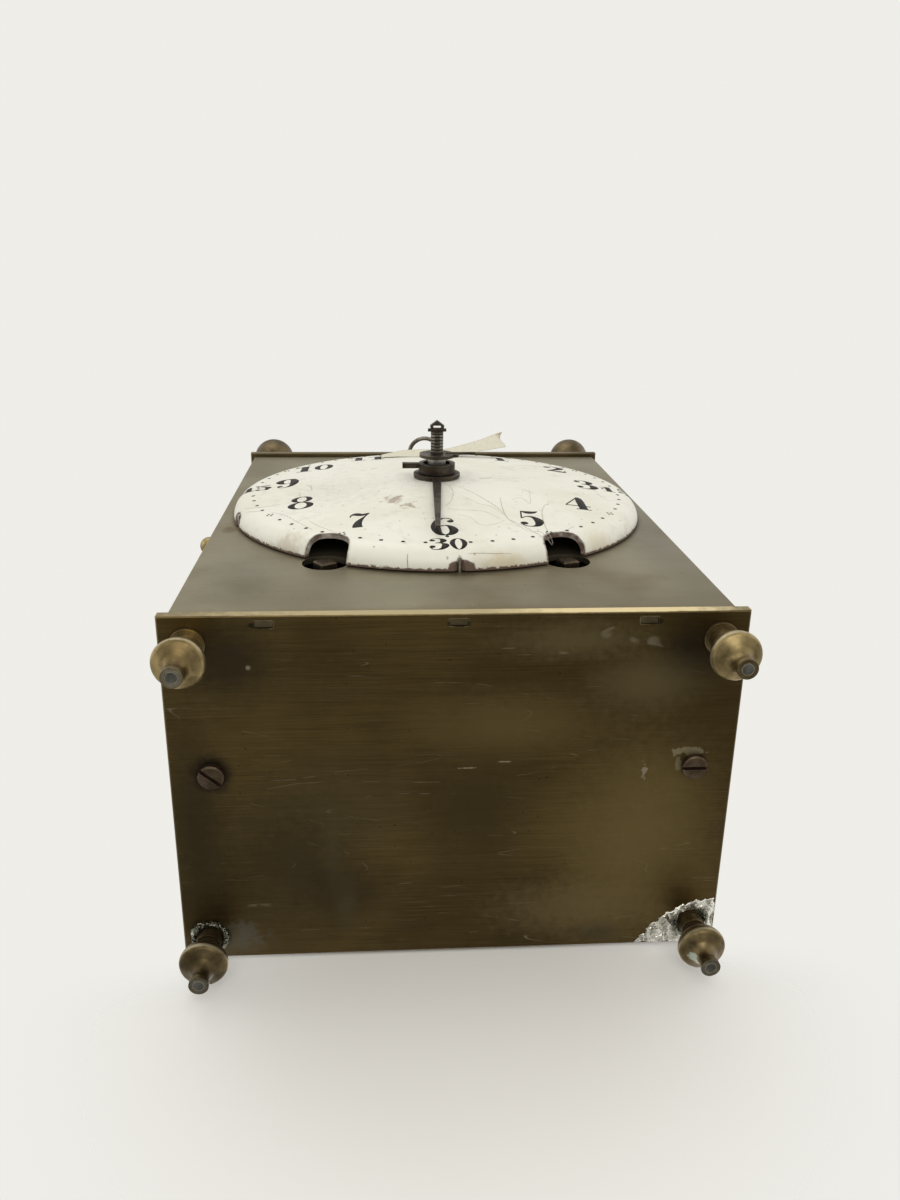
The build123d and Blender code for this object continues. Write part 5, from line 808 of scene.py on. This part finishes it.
def buildPaperStrip(facts):
    # s runs along the strip and t across it; past liftFrom it leaves the dome, by a power of the way on
    s, t = np.meshgrid(np.linspace(0, 1, 60), np.linspace(0, 1, 14), indexing="ij")
    lift = np.clip((s - facts["liftFrom"]) / (1 - facts["liftFrom"]), 0, 1) ** 1.6
    x = facts["left"] + facts["length"] * s - 1.2 * lift
    z = facts["low"] + facts["width"] * t + 0.25 * np.sin(9 * s) + 0.5 * lift
    base = ontoDial(x, z, facts["proud"])
    rise = facts["lowLift"] + (facts["highLift"] - facts["lowLift"]) * t**1.2
    ripple = 0.1 * np.sin(17 * s + 2 * t) * (1 - lift) + 0.12
    stand = facts["topLift"] * t**2 * np.clip(6 * s, 0, 1) * (1 - lift)
    base[..., 1] -= lift * rise + np.abs(ripple) + stand
    cut = np.clip((s - 0.93) / 0.07, 0, 1) * 1.4 * np.sin(6 * t + 1)
    base[..., 0] += cut * 0.5
    piece = surfaceFrom("paper_strip", base, closed=False)
    thicken(piece, facts["thickness"], 0.0)
    material, tree, surface, place = startMaterial("paperStrip")
    fibre = noise(tree, place, 0.8, 6.0, 0.7)
    colour = blendColour(tree, ramp(tree, fibre, 0.35, 0.7), rgba(facts["paper"]), rgba(facts["worn"]))
    tip = facts["tip"]
    share = times(tree, spotMask(tree, place, tip), tip["share"])
    colour = blendColour(tree, share, colour, rgba(tip["colour"]))
    feed(tree, surface, {"Base Color": colour, "Roughness": 0.8})
    addBump(tree, surface, fibre, 0.00006, 0.5)
    piece.data.materials.append(material)
    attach(piece, "case")


def solderFinish(name, bright, grey, dirtColour, dirtShare, crumple):
    # crumpled facets = distance from the nearest of scattered points, warped by noise; folds between them
    material, tree, surface, place = startMaterial(name)
    warp = put(tree, "TexNoise", {"Vector": place, "Scale": 0.35, "Detail": 3.0}).outputs["Color"]
    bent = vecCalc(tree, "ADD", vecCalc(tree, "MULTIPLY", place, (1.0, 0.55, 1.0)),
                   vecCalc(tree, "MULTIPLY", warp, (3.0, 3.0, 3.0)))
    cells = put(tree, "TexVoronoi", {"Vector": bent, "Scale": crumple}).outputs
    facets = cells["Distance"]
    tone = channel(tree, cells["Color"], 0)
    folds = put(tree, "TexVoronoi", {"Vector": bent, "Scale": crumple}, feature="DISTANCE_TO_EDGE")
    fine = noise(tree, place, 2.2, 4.0, 0.65)
    colour = blendColour(tree, ramp(tree, tone, 0.4, 0.75), rgba(bright), rgba(grey))
    dirtAndShade = ramp(tree, noise(tree, bent, 0.4, 4.0, 0.65), 0.5, 0.62)
    colour = blendColour(tree, times(tree, dirtAndShade, dirtShare), colour, rgba(dirtColour))
    crease = times(tree, ramp(tree, folds.outputs[0], 0.0, 0.09, 1.0, 0.0), ramp(tree, fine, 0.35, 0.6))
    colour = blendColour(tree, crease, colour, rgba(bright))
    rough = ramp(tree, fine, 0.3, 0.7, 0.16, 0.42)
    feed(tree, surface, {"Base Color": colour, "Roughness": rough, "Metallic": 1.0})
    height = calc(tree, "ADD", times(tree, facets, -1.0), times(tree, fine, 0.03))
    addBump(tree, surface, height, 0.0016, 1.0)
    return material


solderPatch = {
    "corners": [(47.0, 45.2), (50.6, 40.0), (56.0, 35.6), (61.0, 33.3),
                (66.4, 33.2), (66.6, 39.0), (66.6, 45.2), (56.0, 45.3)],
    "thickness": 0.55, "centre": (60.0, 41.2), "plateEdge": (66.8, 45.5), "face": 17.97, "inside": 18.1,
    "finish": dict(bright=(1.0, 0.98, 0.9), grey=(0.6, 0.58, 0.49), dirtColour=(0.13, 0.12, 0.09),
                   dirtShare=0.55, crumple=0.34),
}


def buildSolderPatch(facts):
    # rings from the middle of the patch out to its ragged outline; height falls to nothing at the outline
    outline = np.asarray(facts["corners"])
    outline = smoothLine(np.vstack([outline, outline[:1]]), 14)[:-1]
    turn = np.linspace(0, 2 * math.pi, len(outline), endpoint=False)
    ragged = 1 + 0.035 * np.sin(11 * turn) + 0.03 * np.sin(23 * turn + 1) + 0.02 * np.sin(41 * turn + 2)
    centre = np.array(facts["centre"])
    share = np.linspace(0.0, 1.0, 26)[:, None, None]
    flat = centre + (outline - centre)[None] * ragged[None, :, None] * share
    x, y = np.moveaxis(np.minimum(flat, facts["plateEdge"]), -1, 0)
    hump = np.sqrt(np.clip(1 - share[..., 0] ** 2.2, 0, 1))
    lumps = (0.3 * np.sin(1.7 * x + 0.6 * y) * np.sin(1.3 * y - 0.5 * x)
             + 0.18 * np.sin(3.9 * x) * np.sin(3.1 * y + 1.0))
    height = hump * facts["thickness"] * (1 + lumps)
    low = np.stack([x, y, facts["face"] - height], axis=-1)
    high = np.stack([x[::-1], y[::-1], np.full_like(height, facts["inside"])], axis=-1)
    piece = surfaceFrom("solder_patch", np.vstack([low, high]))
    piece.data.materials.append(solderFinish("patchSolder", **facts["finish"]))
    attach(piece, "case")


solderCollars = {
    "solder_back_left": {"x": -60.5, "y": 39.0, "height": 1.9, "seed": 0.7},
    "solder_back_right": {"x": 60.5, "y": 39.0, "height": 1.2, "seed": 2.1},
    "radius": 3.75, "thickness": 0.55, "face": 18.0,
    "finish": dict(bright=(0.34, 0.34, 0.28), grey=(0.12, 0.12, 0.09), dirtColour=(0.13, 0.12, 0.09),
                   dirtShare=0.7, crumple=0.8),
}


def buildSolderCollar(name, facts):
    # a lumpy ring of solder round a foot: a small half-round section carried round the foot's collar
    foot = facts[name]
    seed, height = foot["seed"], foot["height"]
    turn, section = np.meshgrid(np.linspace(0, 2 * math.pi, 60, endpoint=False),
                                np.linspace(0, 2 * math.pi, 16, endpoint=False), indexing="ij")
    swell = 1 + 0.35 * np.sin(2 * turn + seed) + 0.22 * np.sin(5 * turn + 2 * seed) + 0.12 * np.sin(11 * turn)
    spread = facts["radius"] + facts["thickness"] * swell * np.cos(section) + 0.25 * swell
    grid = np.stack([foot["x"] + spread * np.cos(turn), foot["y"] + spread * np.sin(turn),
                     facts["face"] - 0.35 * height * swell - 0.5 * height * swell * np.sin(section)], axis=-1)
    piece = surfaceFrom(name, grid)
    piece.data.materials.append(solderFinish(name + "Finish", **facts["finish"]))
    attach(piece, "case")


buildPaperStrip(paperStrip)
buildSolderPatch(solderPatch)
buildSolderCollar("solder_back_left", solderCollars)
buildSolderCollar("solder_back_right", solderCollars)
print("paper strip and solder laid")

stageFacts = {"floorSize": 3.0, "pale": (0.86, 0.85, 0.81), "floorColour": (0.8, 0.79, 0.75),
              "restWide": 0.3, "restTop": 0.0205, "backAt": 0.0465, "below": 0.36,
              "light": (0.58, 0.7), "lightColour": (1.0, 0.985, 0.96)}


def oneSidedStage(name, corners, fade, side):
    # seen only by the camera and only from the side given; everything else passes through it
    piece = newObject(name, bpy.data.meshes.new(name))
    piece.data.from_pydata(corners, [], [(0, 1, 2, 3)])
    material = bpy.data.materials.new(name)
    tree = emptyTree(material)
    lit = put(tree, "BsdfDiffuse", {"Color": rgba(stageFacts["floorColour"])})
    clear = put(tree, "BsdfTransparent")
    seen = put(tree, "LightPath").outputs["Is Camera Ray"]
    facing = vecCalc(tree, "DOT_PRODUCT", put(tree, "NewGeometry").outputs["Incoming"], side["towards"])
    front = ramp(tree, facing, *side["between"])
    place = put(tree, "TexCoord").outputs["Object"]
    away = ellipse(tree, place, fade["centre"], fade["reach"])
    share = times(tree, times(tree, seen, front), ramp(tree, away, fade["from"], 1.0, 1.0, 0.0))
    if "under" in fade:
        # beside the clock it fades out below the open doors, and under the clock it goes on to its edge
        wide, top = fade["under"]
        beneath = ramp(tree, calc(tree, "ABSOLUTE", axis(tree, place, 0)), 0.92 * wide, wide, 1.0, 0.0)
        low = ramp(tree, axis(tree, place, 2), 0.0, top, 1.0, 0.0)
        share = times(tree, share, calc(tree, "MAXIMUM", beneath, low))
    mixed = put(tree, "MixShader", {0: share, 1: clear.outputs[0], 2: lit.outputs[0]})
    put(tree, "OutputMaterial", {"Surface": mixed.outputs[0]})
    piece.data.materials.append(material)


half = stageFacts["floorSize"] / 2
oneSidedStage("floor", [(-half, -half, 0), (half, -half, 0), (half, half, 0), (-half, half, 0)],
              {"centre": (0, 0, 0), "reach": (half, half, 1.0), "from": 0.35},
              {"towards": (0, 0, 1), "between": (0.0, 0.02)})
wide, back, top = stageFacts["restWide"] / 2, stageFacts["backAt"], stageFacts["restTop"]
oneSidedStage("rest", [(-wide, back, -0.2), (wide, back, -0.2), (wide, back, top), (-wide, back, top)],
              {"centre": (0, back, -0.005), "reach": (0.115, 1.0, 0.1), "from": 0.25, "under": (0.068, top)},
              {"towards": (0, -0.34, -0.94), "between": (0.3, 0.6)})


def buildWorld(facts):
    # the backdrop, seen straight, in metal and through glass, darkens straight below as if in shade;
    # what lights dull surfaces grows towards the front and above, as under a ceiling lamp
    world = bpy.data.worlds.new("studio")
    bpy.context.scene.world = world
    tree = emptyTree(world)
    ray = put(tree, "LightPath").outputs
    seen = calc(tree, "ADD", calc(tree, "ADD", ray["Is Camera Ray"], ray["Is Glossy Ray"]),
                ray["Is Transmission Ray"], clamp=True)
    towards = put(tree, "TexCoord").outputs["Generated"]
    backdrop = ramp(tree, axis(tree, towards, 2), -0.95, -0.2, facts["below"], 1.0)
    level = ramp(tree, vecCalc(tree, "DOT_PRODUCT", towards, (0.0, -0.98, 0.2)), -0.7, 0.8, *facts["light"])
    colour = blendColour(tree, seen, rgba(facts["lightColour"]), rgba(facts["pale"]))
    strength = put(tree, "Mix", {0: seen, 2: level, 3: backdrop}).outputs[0]
    sky = put(tree, "Background", {"Color": colour, "Strength": strength})
    put(tree, "OutputWorld", {"Surface": sky.outputs[0]})


buildWorld(stageFacts)
bpy.context.scene.view_settings.view_transform = "Standard"
print("stage set")
